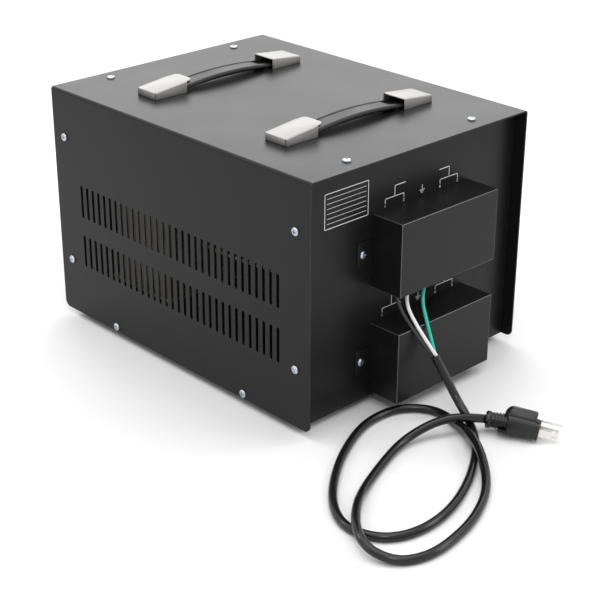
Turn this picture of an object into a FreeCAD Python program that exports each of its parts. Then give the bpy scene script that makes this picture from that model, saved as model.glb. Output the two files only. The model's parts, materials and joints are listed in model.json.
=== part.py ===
"""Heavy-duty autotransformer in a sheet-steel cabinet, as a parametric FreeCAD document.

Frame: origin on the floor under the middle of the cabinet, +Z up, front panel towards -Y,
terminal side towards +Y, vented sides towards +X and -X.  All sizes are in millimetres.
"""
import FreeCAD, Part
import math
import os
import re

from FreeCAD import Placement, Rotation, Vector

SIZES = {
    # cabinet
    "cover_width": 298, "cover_depth": 388, "cover_height": 250, "cover_sheet": 1.5,
    "bend_radius": 3, "corner_radius": 7, "foot_height": 8, "foot_radius": 14,
    "foot_inset_x": 34, "foot_inset_y": 39, "panel_recess": 14, "panel_sheet": 1.5,
    "base_sheet": 2, "sheet_gap": 0.3, "flange_depth": 12, "base_flange": 12,
    # vents
    "vent_pitch": 9.74, "vent_width": 4, "vent_length": 36.5, "vent_count": 32,
    "low_row_height": 77.4, "high_row_height": 133.75,
    # cover screws
    "screw_inset": 19, "side_screw_low": 61, "side_screw_high": 199.5, "edge_screw_height": 6,
    "edge_screw_spacing": 202, "top_screw_spacing": 172, "screw_radius": 2, "screw_length": 8,
    "screw_head_radius": 4.2, "screw_head_height": 2.6, "screw_clearance": 0.1,
    # strap handles
    "handle_spacing": 192, "cap_outer_end": 100.5, "cap_inner_end": 59.5, "cap_low_height": 7.3,
    "cap_high_height": 11.6, "cap_width": 30, "cap_sheet": 1.2, "strap_width": 24,
    "strap_thickness": 5.3, "strap_end_thickness": 3.6, "strap_bow": 4.5,
    "strap_end_height": 2.2, "grip_half_length": 58.5, "tongue_thickness": 1.6,
    "tongue_width": 20, "tongue_inner_end": 52, "tongue_outer_end": 97, "tongue_travel": 5.6,
    "handle_screw_place": 84, "handle_screw_radius": 2.5,
    # terminal covers and blocks
    "terminal_middle": -12, "terminal_box_width": 135, "terminal_box_depth": 38,
    "terminal_box_height": 74, "terminal_sheet": 1.2, "upper_box_foot": 118,
    "lower_box_foot": 5.5, "tab_width": 20, "tab_height": 26, "tab_screw_outset": 13.5,
    "block_side_gap": 1.3, "block_end_wall": 1.25, "block_depth": 16, "block_height": 38,
    "block_above_mouth": 16, "barrier_depth": 8, "barrier_thickness": 2.4,
    "terminal_screw_radius": 2.5, "terminal_head_radius": 4.5, "terminal_head_height": 3,
    "terminal_screw_length": 9, "terminal_row_inset": 8, "plate_thickness": 1.2,
    "plate_width": 15, "plate_inset": 3, "grommet_radius": 4.5, "grommet_rise": 9.5,
    "grommet_gap": 0.1, "grommet_lip": 1.6, "grommet_lip_thickness": 1.2,
    "grommet_bore_gap": 0.3, "lead_radius": 1.75,
    # transformer
    "core_setback": 99, "core_stack": 50, "core_width": 194, "core_height": 168, "limb_width": 50,
    "yoke_height": 36, "core_lift": 4, "bobbin_wall": 2, "bobbin_gap": 0.3, "winding_build": 20,
    "winding_corner": 16, "clamp_thickness": 4, "clamp_height": 32, "clamp_foot": 26,
    "clamp_length": 226, "core_bolt_radius": 4, "core_bolt_spacing": 144,
    "core_bolt_head": 5, "core_nut_height": 6.5, "core_bolt_end": 9, "core_hexagon": 13,
    "mount_bolt_radius": 3, "mount_bolt_spacing": 196, "mount_bolt_head": 4,
    "mount_nut_height": 5, "mount_bolt_end": 7, "mount_hexagon": 10, "nut_bore_gap": 0.02,
    "clamp_hole_gap": 0.3, "core_hole_gap": 0.5,
    # front panel controls
    "breaker_inset": 57, "breaker_height": 196, "breaker_width": 36, "breaker_tall": 66,
    "breaker_depth": 44, "toggle_length": 17, "toggle_width": 10, "toggle_radius": 4,
    "pivot_radius": 1.5, "pivot_clearance": 0.05,
    "meter_height": 196, "meter_face": 72, "meter_face_depth": 9, "meter_barrel_radius": 28,
    "meter_barrel_depth": 34, "meter_wall": 2.5, "needle_length": 34, "needle_pivot_drop": 18,
    "window_thickness": 2, "lamp_inset": 57, "lamp_height": 196, "lamp_radius": 8,
    "outlet_inset": 81, "outlet_height": 104, "outlet_width": 44, "outlet_tall": 52,
    "outlet_depth": 26, "outlet_face": 3,
    # supply cord
    "jacket_radius": 4.2, "plug_half_width": 12.5, "plug_length": 30, "plug_low_side": 6,
    "plug_high_side": 8, "plug_ridge_radius": 8, "plug_ridge_level": 9, "relief_length": 21,
    "relief_radius": 6.6, "blade_length": 17.5, "blade_width": 6.35, "blade_thickness": 1.5,
    "blade_spacing": 12.7, "blade_level": -0.7, "blade_hole_radius": 1.5, "blade_hole_reach": 4,
    "blade_seat": 6, "ground_pin_radius": 2.4, "ground_pin_length": 20, "ground_pin_level": 11.2,
}

# Places and lengths that follow from other sizes.
DERIVED = {
    "foot_spread_x": "cover_width - 2 * foot_inset_x",
    "foot_spread_y": "cover_depth - 2 * foot_inset_y",
    "core_middle": "core_setback - cover_depth / 2",
    "block_length": "terminal_box_width - 2 * terminal_sheet - 2 * block_side_gap",
    "pole_pitch": "(block_length - 2 * block_end_wall) / 5",
    "tab_screw_reach": "terminal_box_width / 2 + tab_screw_outset",
    "breaker_place": "breaker_inset - cover_width / 2",
    "lamp_place": "cover_width / 2 - lamp_inset",
    "outlet_place": "cover_width / 2 - outlet_inset",
}

# The jacket's route from the lead split to the plug, chosen by hand along two loose loops
# that lie on the floor, with long low humps where the cord passes over itself.
JACKET_ROUTE = [
    (20, 233, 59), (16, 243, 41), (13, 257, 19), (21, 284, 5), (53, 318, 4.2), (104, 350, 4.2),
    (152, 368, 4.2), (195, 369, 4.2), (222, 353, 4.2), (231, 321, 4.2), (211, 285, 4.2),
    (163, 245, 4.2), (110, 217, 4.2), (76, 209, 4.2), (43, 214, 4.2), (23, 239, 4.2),
    (28, 272, 4.6), (44, 298, 12.8), (61, 328, 13.8), (93, 365, 4.2), (140, 389, 4.2),
    (183, 401, 4.2), (214, 401, 4.2), (242, 387, 4.2), (254, 360, 9), (243, 334, 13.6),
    (215, 312, 13.6), (178, 292, 4.6), (134, 273, 4.2), (96, 261, 6), (67, 265, 13.4),
    (46, 274, 17.8), (29, 285, 17), (14, 294.5, 13.3),
]
LEAD_ROUTES = {
    "lead_black": [(39, 200, 142), (38.6, 200.5, 128), (35.5, 206, 112), (29, 221, 89),
                   (21.8, 232.2, 58.2)],
    "lead_white": [(13.5, 200, 142), (18, 201, 130), (28, 206, 114), (26, 222, 92.5),
                   (20, 234.8, 60)],
    "lead_green": [(-12, 200, 142), (-8, 201, 130), (5, 205, 112), (14, 220.6, 88.8),
                   (18.2, 231.9, 58.8)],
}
# Which way the strain relief and the plug point, in degrees: heading, slope down and roll.
RELIEF_TURN = (124, 3, 0)
PLUG_TURN = (120, 7, -10)

# Rest angles, in degrees: the toggle is off and the needle points to zero.
TOGGLE_REST = 22
NEEDLE_REST = -45

doc = FreeCAD.newDocument("autotransformer")
sheet = doc.addObject("Spreadsheet::Sheet", "Sizes")
formulas = {alias: f"={text}" for alias, text in DERIVED.items()}
for row, (alias, content) in enumerate((SIZES | formulas).items(), start=1):
    sheet.set(f"A{row}", alias)
    sheet.set(f"B{row}", str(content))
    sheet.setAlias(f"B{row}", alias)
doc.recompute()

nodes = []


def size(alias):
    """The number that a cell of the sheet holds."""
    return float(getattr(sheet, alias))


def bind(item, prop, text):
    """Tie one property to a formula written with the sheet's plain alias names."""
    formula = re.sub(r"[a-z]+(?:_[a-z]+)+", lambda found: "Sizes." + found.group(0), str(text))
    item.setExpression(prop, formula)


def keep(item, label):
    """Name an object as one finished sub-part."""
    item.Label = label
    nodes.append(item)
    return item


def place(item, x, y, z):
    for axis, text in zip("xyz", (x, y, z)):
        bind(item, f"Placement.Base.{axis}", text)


def block(name, length, width, height, x, y, z):
    """A bound box whose lowest corner is at x, y, z."""
    item = doc.addObject("Part::Box", name)
    bind(item, "Length", length)
    bind(item, "Width", width)
    bind(item, "Height", height)
    place(item, x, y, z)
    return item


def fuse(name, items):
    item = doc.addObject("Part::MultiFuse", name)
    item.Shapes = items
    item.Refine = True
    return item


def cut(name, base, tool):
    item = doc.addObject("Part::Cut", name)
    item.Base = base
    item.Tool = tool
    return item


def feature(name, shape):
    """A shape worked out from the sheet's values, for what a primitive doesn't fit."""
    item = doc.addObject("Part::Feature", name)
    item.Shape = shape
    return item


def carve(name, base, shapes):
    """Cut a set of worked-out shapes from an object."""
    return cut(name, base, feature(name + "_cutters", Part.makeCompound(shapes)))


def cylinder(radius, length, start, axis):
    return Part.makeCylinder(radius, length, Vector(*start), Vector(*axis))


def box(length, width, height, corner):
    return Part.makeBox(length, width, height, Vector(*corner))


def prism(points, along):
    """A solid swept from a closed outline of points along a vector."""
    outline = Part.makePolygon([Vector(*point) for point in points + points[:1]])
    return Part.Face(outline).extrude(Vector(*along))


def pan_screw(radius, length, head_radius, head_height, start, axis):
    """A pan-head screw: the head's underside is at start and the axis points out of the head."""
    out = Vector(*axis)
    middle = Vector(*start)
    shank = Part.makeCylinder(radius, length, middle, out * -1)
    head = Part.makeCylinder(head_radius, head_height * 0.6, middle, out)
    dome = Part.makeCone(head_radius, head_radius * 0.7, head_height * 0.4,
                         middle + out * head_height * 0.6, out)
    return shank.fuse([head, dome]).removeSplitter()


def hexagon(across, thickness, start, axis, bore=0):
    """A hexagonal head or nut whose lower face is centred on start."""
    corner = across / math.sqrt(3)
    points = [Vector(corner * math.cos(math.radians(60 * turn)),
                     corner * math.sin(math.radians(60 * turn)), 0) for turn in range(7)]
    solid = Part.Face(Part.makePolygon(points)).extrude(Vector(0, 0, thickness))
    if bore:
        solid = solid.cut(Part.makeCylinder(bore, thickness))
    solid.Placement = Placement(Vector(*start), Rotation(Vector(0, 0, 1), Vector(*axis)))
    return solid


def tube(points, radius):
    """A round tube along straight runs joined by tangent arcs."""
    route = [Vector(*point) for point in points]
    edges = []
    start = route[0]
    tightest = math.inf
    for before, corner, after in zip(route, route[1:], route[2:]):
        back = before - corner
        onward = after - corner
        half_turn = (math.pi - back.getAngle(onward)) / 2
        reach = 0.45 * min(back.Length, onward.Length)
        arc_radius = reach / math.tan(half_turn)
        tightest = min(tightest, arc_radius)
        back.normalize()
        onward.normalize()
        inward = (back + onward).normalize()
        arc_start = corner + back * reach
        arc_end = corner + onward * reach
        middle = corner + inward * (arc_radius / math.cos(half_turn) - arc_radius)
        edges.append(Part.LineSegment(start, arc_start).toShape())
        edges.append(Part.Arc(arc_start, middle, arc_end).toShape())
        start = arc_end
    edges.append(Part.LineSegment(start, route[-1]).toShape())
    length = sum(edge.Length for edge in edges)
    circle = Part.makeCircle(radius, route[0], route[1] - route[0])
    solid = Part.Wire(edges).makePipeShell([Part.Wire(circle)], True, True)
    expected = math.pi * radius ** 2 * length
    print(f"tube length {length:.1f} tightest radius {tightest:.1f} "
          f"volume ratio {solid.Volume / expected:.4f}")
    return solid


def fillet(name, base, radius, chosen):
    """Round the edges of a bound object that a test picks."""
    doc.recompute()
    item = doc.addObject("Part::Fillet", name)
    item.Base = base
    item.Edges = [(number, radius, radius)
                  for number, edge in enumerate(base.Shape.Edges, start=1) if chosen(edge)]
    return item


# Levels and planes that several sub-parts share.
FLOOR_GAP = size("foot_height")
TOP = FLOOR_GAP + size("cover_height")
BASE_TOP = FLOOR_GAP + size("base_sheet")
HALF_WIDTH = size("cover_width") / 2
HALF_DEPTH = size("cover_depth") / 2
PANEL_FACE = HALF_DEPTH - size("panel_recess")
PANEL_BACK = PANEL_FACE - size("panel_sheet")
PANEL_HALF = HALF_WIDTH - size("cover_sheet") - size("sheet_gap")
SCREW_ROW = HALF_DEPTH - size("screw_inset")
SCREW_HOLE = size("screw_radius") + size("screw_clearance")
SIDES = (-1, 1)


def side_screw_places():
    """The Y and Z of the screws on each side of the cover."""
    heights = (FLOOR_GAP + size("side_screw_low"), FLOOR_GAP + size("side_screw_high"))
    corners = [(end * SCREW_ROW, height) for end in SIDES for height in heights]
    low = FLOOR_GAP + size("edge_screw_height")
    return corners + [(end * size("edge_screw_spacing") / 2, low) for end in SIDES]


def top_screw_places():
    """The X and Y of the screws on top of the cover."""
    return [(side * size("top_screw_spacing") / 2, end * SCREW_ROW)
            for side in SIDES for end in SIDES]


def handle_screw_places():
    """The X and Y of the screws that hold the strap tongues down."""
    return [(side * size("handle_screw_place"), end * size("handle_spacing") / 2)
            for end in SIDES for side in SIDES]


def vent_slots():
    """Upright slots with round ends, cut straight through both sides of the cover."""
    radius = size("vent_width") / 2
    straight = size("vent_length") - size("vent_width")
    start = -HALF_WIDTH - 1
    through = size("cover_width") + 2
    first = -(size("vent_count") - 1) / 2 * size("vent_pitch")
    slots = []
    for height in (size("low_row_height"), size("high_row_height")):
        bottom = FLOOR_GAP + height - straight / 2
        for number in range(int(size("vent_count"))):
            middle = first + number * size("vent_pitch")
            body = box(through, 2 * radius, straight, (start, middle - radius, bottom))
            ends = [cylinder(radius, through, (start, middle, level), (1, 0, 0))
                    for level in (bottom, bottom + straight)]
            slots.append(body.fuse(ends).removeSplitter())
    return slots


def cover():
    """The U-shaped cover: a top and two vented sides bent from one sheet."""
    outside = block("cover_outside", "cover_width", "cover_depth", "cover_height",
                    "-cover_width / 2", "-cover_depth / 2", "foot_height")

    def is_bend(edge):
        bounds = edge.BoundBox
        return bounds.YLength > 1 and bounds.ZMin > TOP - 1

    def is_low_corner(edge):
        bounds = edge.BoundBox
        return bounds.XLength > 1 and bounds.ZMax < FLOOR_GAP + 1

    bent = fillet("cover_bends", outside, size("bend_radius"), is_bend)
    rounded = fillet("cover_corners", bent, size("corner_radius"), is_low_corner)
    inside = block("cover_inside", "cover_width - 2 * cover_sheet", "cover_depth + 2",
                   "cover_height - cover_sheet + 1", "cover_sheet - cover_width / 2",
                   "-cover_depth / 2 - 1", "foot_height - 1")
    hollow = cut("cover_hollow", rounded, inside)
    through = size("cover_width") + 2
    holes = [cylinder(SCREW_HOLE, through, (-HALF_WIDTH - 1, y, z), (1, 0, 0))
             for y, z in side_screw_places()]
    holes += [cylinder(SCREW_HOLE, 6, (x, y, TOP - 3), (0, 0, 1)) for x, y in top_screw_places()]
    handle_hole = size("handle_screw_radius") + size("screw_clearance")
    holes += [cylinder(handle_hole, 6, (x, y, TOP - 3), (0, 0, 1))
              for x, y in handle_screw_places()]
    keep(carve("cover_sheet_metal", hollow, vent_slots() + holes), "cover")


def base_plate():
    """The tray that carries the transformer, with an upturned flange on each side."""
    tray = block("tray", "cover_width - 2 * cover_sheet - 2 * sheet_gap",
                 "cover_depth - 2 * panel_recess", "base_sheet",
                 "cover_sheet + sheet_gap - cover_width / 2",
                 "panel_recess - cover_depth / 2", "foot_height")
    inset = "cover_depth - 2 * panel_recess - 2 * flange_depth - 6"
    left = block("tray_left", "base_sheet", inset, "base_flange",
                 "cover_sheet + sheet_gap - cover_width / 2", f"-({inset}) / 2",
                 "foot_height + base_sheet")
    right = block("tray_right", "base_sheet", inset, "base_flange",
                  "cover_width / 2 - cover_sheet - sheet_gap - base_sheet", f"-({inset}) / 2",
                  "foot_height + base_sheet")
    under = FLOOR_GAP - 1
    deep = size("base_sheet") + 2
    mount_hole = size("mount_bolt_radius") + size("screw_clearance")
    holes = [cylinder(SCREW_HOLE, deep, (x, y, under), (0, 0, 1))
             for x, y in foot_places() + panel_screw_places()]
    holes += [cylinder(mount_hole, deep, (x, y, under), (0, 0, 1)) for x, y in mount_bolt_places()]
    low = FLOOR_GAP + size("edge_screw_height")
    holes += [cylinder(SCREW_HOLE, size("cover_width"), (-HALF_WIDTH, y, low), (1, 0, 0))
              for y, z in side_screw_places() if z == low]
    keep(carve("base_sheet_metal", fuse("tray_bent", [tray, left, right]), holes), "base_plate")


def foot_places():
    return [(side * size("foot_spread_x") / 2, end * size("foot_spread_y") / 2)
            for side in SIDES for end in SIDES]


def panel_screw_places():
    """Screws that hold each panel's lower flange down on the base plate."""
    reach = PANEL_BACK - size("flange_depth") / 2
    return [(side * size("top_screw_spacing") / 2, end * reach) for side in SIDES for end in SIDES]


def mount_bolt_places():
    """Bolts that hold the transformer's lower clamps down on the base plate."""
    reach = size("core_stack") / 2 + size("clamp_thickness") + size("clamp_foot") / 2
    return [(side * size("mount_bolt_spacing") / 2, size("core_middle") + end * reach)
            for side in SIDES for end in SIDES]


def panel(label, end, openings):
    """A front or rear panel: a sheet with four flanges turned inwards."""
    half = "cover_width / 2 - cover_sheet - sheet_gap"
    tall = "cover_height - base_sheet - cover_sheet - sheet_gap"
    face = f"{end} * (cover_depth / 2 - panel_recess - panel_sheet / 2)"
    turned = f"{end} * (cover_depth / 2 - panel_recess - panel_sheet - flange_depth / 2)"
    low = "foot_height + base_sheet"
    plate = block(label + "_plate", f"2 * ({half})", "panel_sheet", tall, f"-({half})",
                  f"{face} - panel_sheet / 2", low)
    flanges = [
        block(f"{label}_flange_{number}", length, "flange_depth", height, x,
              f"{turned} - flange_depth / 2", z)
        for number, (length, height, x, z) in enumerate((
            ("panel_sheet", tall, f"-({half})", low),
            ("panel_sheet", tall, f"{half} - panel_sheet", low),
            (f"2 * ({half})", "panel_sheet", f"-({half})", low),
            (f"2 * ({half})", "panel_sheet", f"-({half})", f"{low} + {tall} - panel_sheet"),
        ))
    ]
    bent = fuse(label + "_bent", [plate] + flanges)
    rows = [(y, z) for y, z in side_screw_places() if y == end * SCREW_ROW]
    holes = [cylinder(SCREW_HOLE, size("cover_width"), (-HALF_WIDTH, y, z), (1, 0, 0))
             for y, z in rows]
    holes += [cylinder(SCREW_HOLE, 8, (x, y, TOP - 7), (0, 0, 1))
              for x, y in top_screw_places() if y == end * SCREW_ROW]
    holes += [cylinder(SCREW_HOLE, 8, (x, y, FLOOR_GAP), (0, 0, 1))
              for x, y in panel_screw_places() if y * end > 0]
    keep(carve(label + "_sheet_metal", bent, holes + openings), label)


def front_openings():
    """Cut-outs for the breaker, meter, lamp and outlets."""
    start = -PANEL_FACE - 3
    deep = size("panel_sheet") + 6
    gap = 0.4
    breaker_width = size("toggle_width") + 8
    breaker_tall = size("toggle_length") + 14
    cutters = [
        box(breaker_width, deep, breaker_tall,
            (size("breaker_place") - breaker_width / 2, start,
             size("breaker_height") - breaker_tall / 2)),
        cylinder(size("meter_barrel_radius") + gap, deep, (0, start, size("meter_height")),
                 (0, 1, 0)),
        cylinder(size("lamp_radius") - 1.5 + gap, deep,
                 (size("lamp_place"), start, size("lamp_height")), (0, 1, 0)),
    ]
    width = size("outlet_width") - 8 + gap
    tall = size("outlet_tall") - 8 + gap
    cutters += [box(width, deep, tall, (side * size("outlet_place") - width / 2, start,
                                        size("outlet_height") - tall / 2)) for side in SIDES]
    return cutters


def terminal_feet():
    """The lower edge of each terminal cover above the floor, input first."""
    return {"input": FLOOR_GAP + size("upper_box_foot"), "output": FLOOR_GAP + size("lower_box_foot")}


def tab_screw_places():
    """The X and Z of the screws that hold the terminal covers."""
    middle = size("terminal_middle")
    return [(middle + side * size("tab_screw_reach"), foot + size("terminal_box_height") / 2)
            for foot in terminal_feet().values() for side in SIDES]


def poles():
    """The X of the five terminals."""
    return [size("terminal_middle") + number * size("pole_pitch") for number in (-2, -1, 0, 1, 2)]


def grommet_places():
    """The X and Z of the holes that the inner leads pass through."""
    rise = size("block_above_mouth") + size("block_height") + size("grommet_rise")
    return [(x, foot + rise) for foot in terminal_feet().values() for x in poles()[1:4]]


def rear_openings():
    start = PANEL_BACK - 2
    deep = size("panel_sheet") + 4
    holes = [cylinder(SCREW_HOLE, deep, (x, start, z), (0, 1, 0)) for x, z in tab_screw_places()]
    holes += [cylinder(size("grommet_radius"), deep, (x, start, z), (0, 1, 0))
              for x, z in grommet_places()]
    return holes


def terminal_cover(label, foot):
    """A folded box, open below and behind, with a screw tab on each side."""
    outside = block(label + "_outside", "terminal_box_width", "terminal_box_depth",
                    "terminal_box_height", "terminal_middle - terminal_box_width / 2",
                    "cover_depth / 2 - panel_recess", f"foot_height + {foot}")
    inside = block(label + "_inside", "terminal_box_width - 2 * terminal_sheet",
                   "terminal_box_depth - terminal_sheet + 1", "terminal_box_height - terminal_sheet + 1",
                   "terminal_middle - terminal_box_width / 2 + terminal_sheet",
                   "cover_depth / 2 - panel_recess - 1", f"foot_height + {foot} - 1")
    folded = cut(label + "_folded", outside, inside)
    level = f"foot_height + {foot} + terminal_box_height / 2 - tab_height / 2"
    left = block(label + "_tab_left", "tab_width", "terminal_sheet", "tab_height",
                 "terminal_middle - terminal_box_width / 2 - tab_width",
                 "cover_depth / 2 - panel_recess", level)
    right = block(label + "_tab_right", "tab_width", "terminal_sheet", "tab_height",
                  "terminal_middle + terminal_box_width / 2",
                  "cover_depth / 2 - panel_recess", level)
    holes = [cylinder(SCREW_HOLE, size("terminal_sheet") + 2, (x, PANEL_FACE - 1, z), (0, 1, 0))
             for x, z in tab_screw_places()]
    keep(carve(label + "_sheet_metal", fuse(label + "_whole", [folded, left, right]), holes), label)


def terminal_block(label, foot):
    """A five-pole barrier strip screwed to the rear panel."""
    bottom = f"foot_height + {foot} + block_above_mouth"
    base = block(label + "_base", "block_length", "block_depth", "block_height",
                 "terminal_middle - block_length / 2", "cover_depth / 2 - panel_recess", bottom)
    barriers = [
        block(f"{label}_barrier_{number}", "barrier_thickness", "barrier_depth", "block_height",
              f"terminal_middle + ({step}) * pole_pitch - barrier_thickness / 2",
              "cover_depth / 2 - panel_recess + block_depth", bottom)
        for number, step in enumerate((-1.5, -0.5, 0.5, 1.5))
    ]
    level = FLOOR_GAP + size(foot) + size("block_above_mouth")
    hole = size("terminal_screw_radius") + size("screw_clearance")
    holes = [cylinder(hole, size("block_depth") - 4, (x, PANEL_FACE + 5, z), (0, 1, 0))
             for x in poles() for z in terminal_rows(level)]
    keep(carve(label + "_moulding", fuse(label + "_ribbed", [base] + barriers), holes), label)


def terminal_rows(level):
    inset = size("terminal_row_inset")
    return (level + inset, level + size("block_height") - inset)


def terminal_hardware():
    """The brass plates and screws of both blocks."""
    face = PANEL_FACE + size("block_depth")
    width = size("plate_width")
    inset = size("plate_inset")
    plates = []
    screws = []
    radius = size("terminal_screw_radius")
    for foot in terminal_feet().values():
        level = foot + size("block_above_mouth")
        for x in poles():
            plate = box(width, size("plate_thickness"), size("block_height") - 2 * inset,
                        (x - width / 2, face, level + inset))
            holes = [cylinder(radius + size("screw_clearance"), 5, (x, face - 1, z), (0, 1, 0))
                     for z in terminal_rows(level)]
            plates.append(plate.cut(holes))
            screws += [pan_screw(radius, size("terminal_screw_length"), size("terminal_head_radius"),
                                 size("terminal_head_height"),
                                 (x, face + size("plate_thickness"), z), (0, 1, 0))
                       for z in terminal_rows(level)]
    keep(feature("plates", Part.makeCompound(plates)), "terminal_plates")
    keep(feature("block_screws", Part.makeCompound(screws)), "terminal_screws")


def small_screws():
    """Groups of the same pan-head screw, one node for each place that they serve."""
    def group(label, starts):
        shapes = [pan_screw(size("screw_radius"), size("screw_length"), size("screw_head_radius"),
                            size("screw_head_height"), start, axis) for start, axis in starts]
        keep(feature(label + "_set", Part.makeCompound(shapes)), label)

    group("cover_side_screws", [((side * HALF_WIDTH, y, z), (side, 0, 0))
                                for side in SIDES for y, z in side_screw_places()])
    group("cover_top_screws", [((x, y, TOP), (0, 0, 1)) for x, y in top_screw_places()])
    group("panel_screws", [((x, y, FLOOR_GAP), (0, 0, -1)) for x, y in panel_screw_places()])
    group("terminal_cover_screws", [((x, PANEL_FACE + size("terminal_sheet"), z), (0, 1, 0))
                                    for x, z in tab_screw_places()])


def feet():
    """Rubber feet with a recess for their screws."""
    recess = size("screw_head_height") + 1.4
    pads = []
    screws = []
    for x, y in foot_places():
        pad = Part.makeCone(size("foot_radius") - 1.5, size("foot_radius"), FLOOR_GAP, Vector(x, y, 0))
        pad = pad.cut(cylinder(size("screw_head_radius") + 1, recess, (x, y, 0), (0, 0, 1)))
        pads.append(pad.cut(cylinder(SCREW_HOLE, FLOOR_GAP, (x, y, 0), (0, 0, 1))))
        screws.append(pan_screw(size("screw_radius"), size("screw_length"), size("screw_head_radius"),
                                size("screw_head_height"), (x, y, recess), (0, 0, -1)))
    keep(feature("pads", Part.makeCompound(pads)), "feet")
    keep(feature("pad_screws", Part.makeCompound(screws)), "foot_screws")


def handle_cap(side, middle):
    """A folded wedge that closes over one end of a strap, open inwards and below."""
    outer = size("cap_outer_end")
    inner = size("cap_inner_end")
    low = size("cap_low_height")
    high = size("cap_high_height")
    wall = size("cap_sheet")
    half = size("cap_width") / 2
    slope = (high - low) / (outer - inner)
    shell = prism([(side * inner, middle - half, TOP), (side * outer, middle - half, TOP),
                   (side * outer, middle - half, TOP + low), (side * inner, middle - half, TOP + high)],
                  (0, 2 * half, 0))
    ceiling = wall * math.hypot(1, slope)
    open_end = inner - 1
    closed_end = outer - wall
    roof = [TOP + low + (outer - x) * slope - ceiling for x in (closed_end, open_end)]
    hollow = prism([(side * open_end, middle - half + wall, TOP - 1),
                    (side * closed_end, middle - half + wall, TOP - 1),
                    (side * closed_end, middle - half + wall, roof[0]),
                    (side * open_end, middle - half + wall, roof[1])],
                   (0, 2 * (half - wall), 0))
    return shell.cut(hollow)


def strap_tongue(side, middle):
    """A strap end that slides under the cap along its screw."""
    outer = size("tongue_outer_end")
    inner = size("tongue_inner_end")
    width = size("tongue_width")
    bottom = TOP + size("sheet_gap")
    low_x = min(side * outer, side * inner)
    tongue = box(outer - inner, width, size("tongue_thickness"), (low_x, middle - width / 2, bottom))
    radius = size("handle_screw_radius") + 0.3
    first = side * size("handle_screw_place")
    last = first + side * size("tongue_travel")
    thick = size("tongue_thickness")
    slot = box(abs(last - first), 2 * radius, thick, (min(first, last), middle - radius, bottom))
    ends = [cylinder(radius, thick, (x, middle, bottom), (0, 0, 1)) for x in (first, last)]
    return tongue.cut([slot] + ends)


def strap_grip(middle):
    """The raised middle of a strap, bowed up off the cover."""
    half = size("grip_half_length")
    half_width = size("strap_width") / 2
    low = TOP + size("strap_end_height")
    thick = size("strap_thickness")
    end_thick = size("strap_end_thickness")
    flat = half - 10
    y = middle - half_width
    underside = TOP + size("strap_bow")
    edges = [
        Part.LineSegment(Vector(-half, y, low), Vector(-flat, y, low)),
        Part.Arc(Vector(-flat, y, low), Vector(0, y, underside), Vector(flat, y, low)),
        Part.LineSegment(Vector(flat, y, low), Vector(half, y, low)),
        Part.LineSegment(Vector(half, y, low), Vector(half, y, low + end_thick)),
        Part.Arc(Vector(half, y, low + end_thick), Vector(0, y, underside + thick),
                 Vector(-half, y, low + end_thick)),
        Part.LineSegment(Vector(-half, y, low + end_thick), Vector(-half, y, low)),
    ]
    outline = Part.Wire([edge.toShape() for edge in edges])
    return Part.Face(outline).extrude(Vector(0, 2 * half_width, 0))


def handles():
    """Two strap handles across the top, each with two caps, two tongues and a grip."""
    for name, end in (("front", -1), ("rear", 1)):
        middle = end * size("handle_spacing") / 2
        caps = [handle_cap(side, middle) for side in SIDES]
        keep(feature(name + "_caps", Part.makeCompound(caps)), name + "_handle_caps")
        keep(feature(name + "_grip", strap_grip(middle)), name + "_strap_grip")
        for side_name, side in (("left", -1), ("right", 1)):
            tongue = feature(f"{name}_{side_name}_tongue", strap_tongue(side, middle))
            keep(tongue, f"{name}_strap_tongue_{side_name}")
    radius = size("handle_screw_radius")
    head_level = TOP + 2 * size("sheet_gap") + size("tongue_thickness")
    under = TOP - size("cover_sheet")
    nut_thick = 4
    shank = head_level - under + nut_thick + 1
    screws = [pan_screw(radius, shank, 4.5, 3, (x, y, head_level), (0, 0, 1))
              for x, y in handle_screw_places()]
    nuts = [hexagon(8, nut_thick, (x, y, under), (0, 0, -1), radius + 0.02)
            for x, y in handle_screw_places()]
    keep(feature("strap_screws", Part.makeCompound(screws)), "handle_screws")
    keep(feature("strap_nuts", Part.makeCompound(nuts)), "handle_nuts")


def transformer():
    """A two-limb laminated core with a coil on each limb, clamped and bolted to the base."""
    lift = "foot_height + base_sheet + core_lift"
    stack = block("core_stack_block", "core_width", "core_stack", "core_height", "-core_width / 2",
                  "core_middle - core_stack / 2", lift)
    window = block("core_window", "core_width - 2 * limb_width", "core_stack + 2",
                   "core_height - 2 * yoke_height", "limb_width - core_width / 2",
                   "core_middle - core_stack / 2 - 1", f"{lift} + yoke_height")
    hole = size("core_bolt_radius") + size("core_hole_gap")
    start = size("core_middle") - size("core_stack")
    holes = [cylinder(hole, 2 * size("core_stack"), (x, start, z), (0, 1, 0))
             for x, z in core_bolt_places()]
    keep(carve("laminations", cut("core_ring", stack, window), holes), "transformer_core")
    for name, side in (("left", -1), ("right", 1)):
        coil(name, side)
    clamps()


def core_levels():
    """The core's lowest and highest levels."""
    low = BASE_TOP + size("core_lift")
    return low, low + size("core_height")


def core_bolt_places():
    low, high = core_levels()
    half = size("core_bolt_spacing") / 2
    inset = size("yoke_height") / 2
    return [(side * half, z) for side in SIDES for z in (low + inset, high - inset)]


def ring(half_x, half_y, hole_x, hole_y, low, high, middle, corner=0):
    """An upright rectangular ring around a limb, its outer corners rounded if asked."""
    outer = box(2 * half_x, 2 * half_y, high - low, (middle[0] - half_x, middle[1] - half_y, low))
    if corner:
        upright = [edge for edge in outer.Edges if edge.BoundBox.ZLength > 1]
        outer = outer.makeFillet(corner, upright)
    inner = box(2 * hole_x, 2 * hole_y, high - low, (middle[0] - hole_x, middle[1] - hole_y, low))
    return outer.cut(inner)


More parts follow.
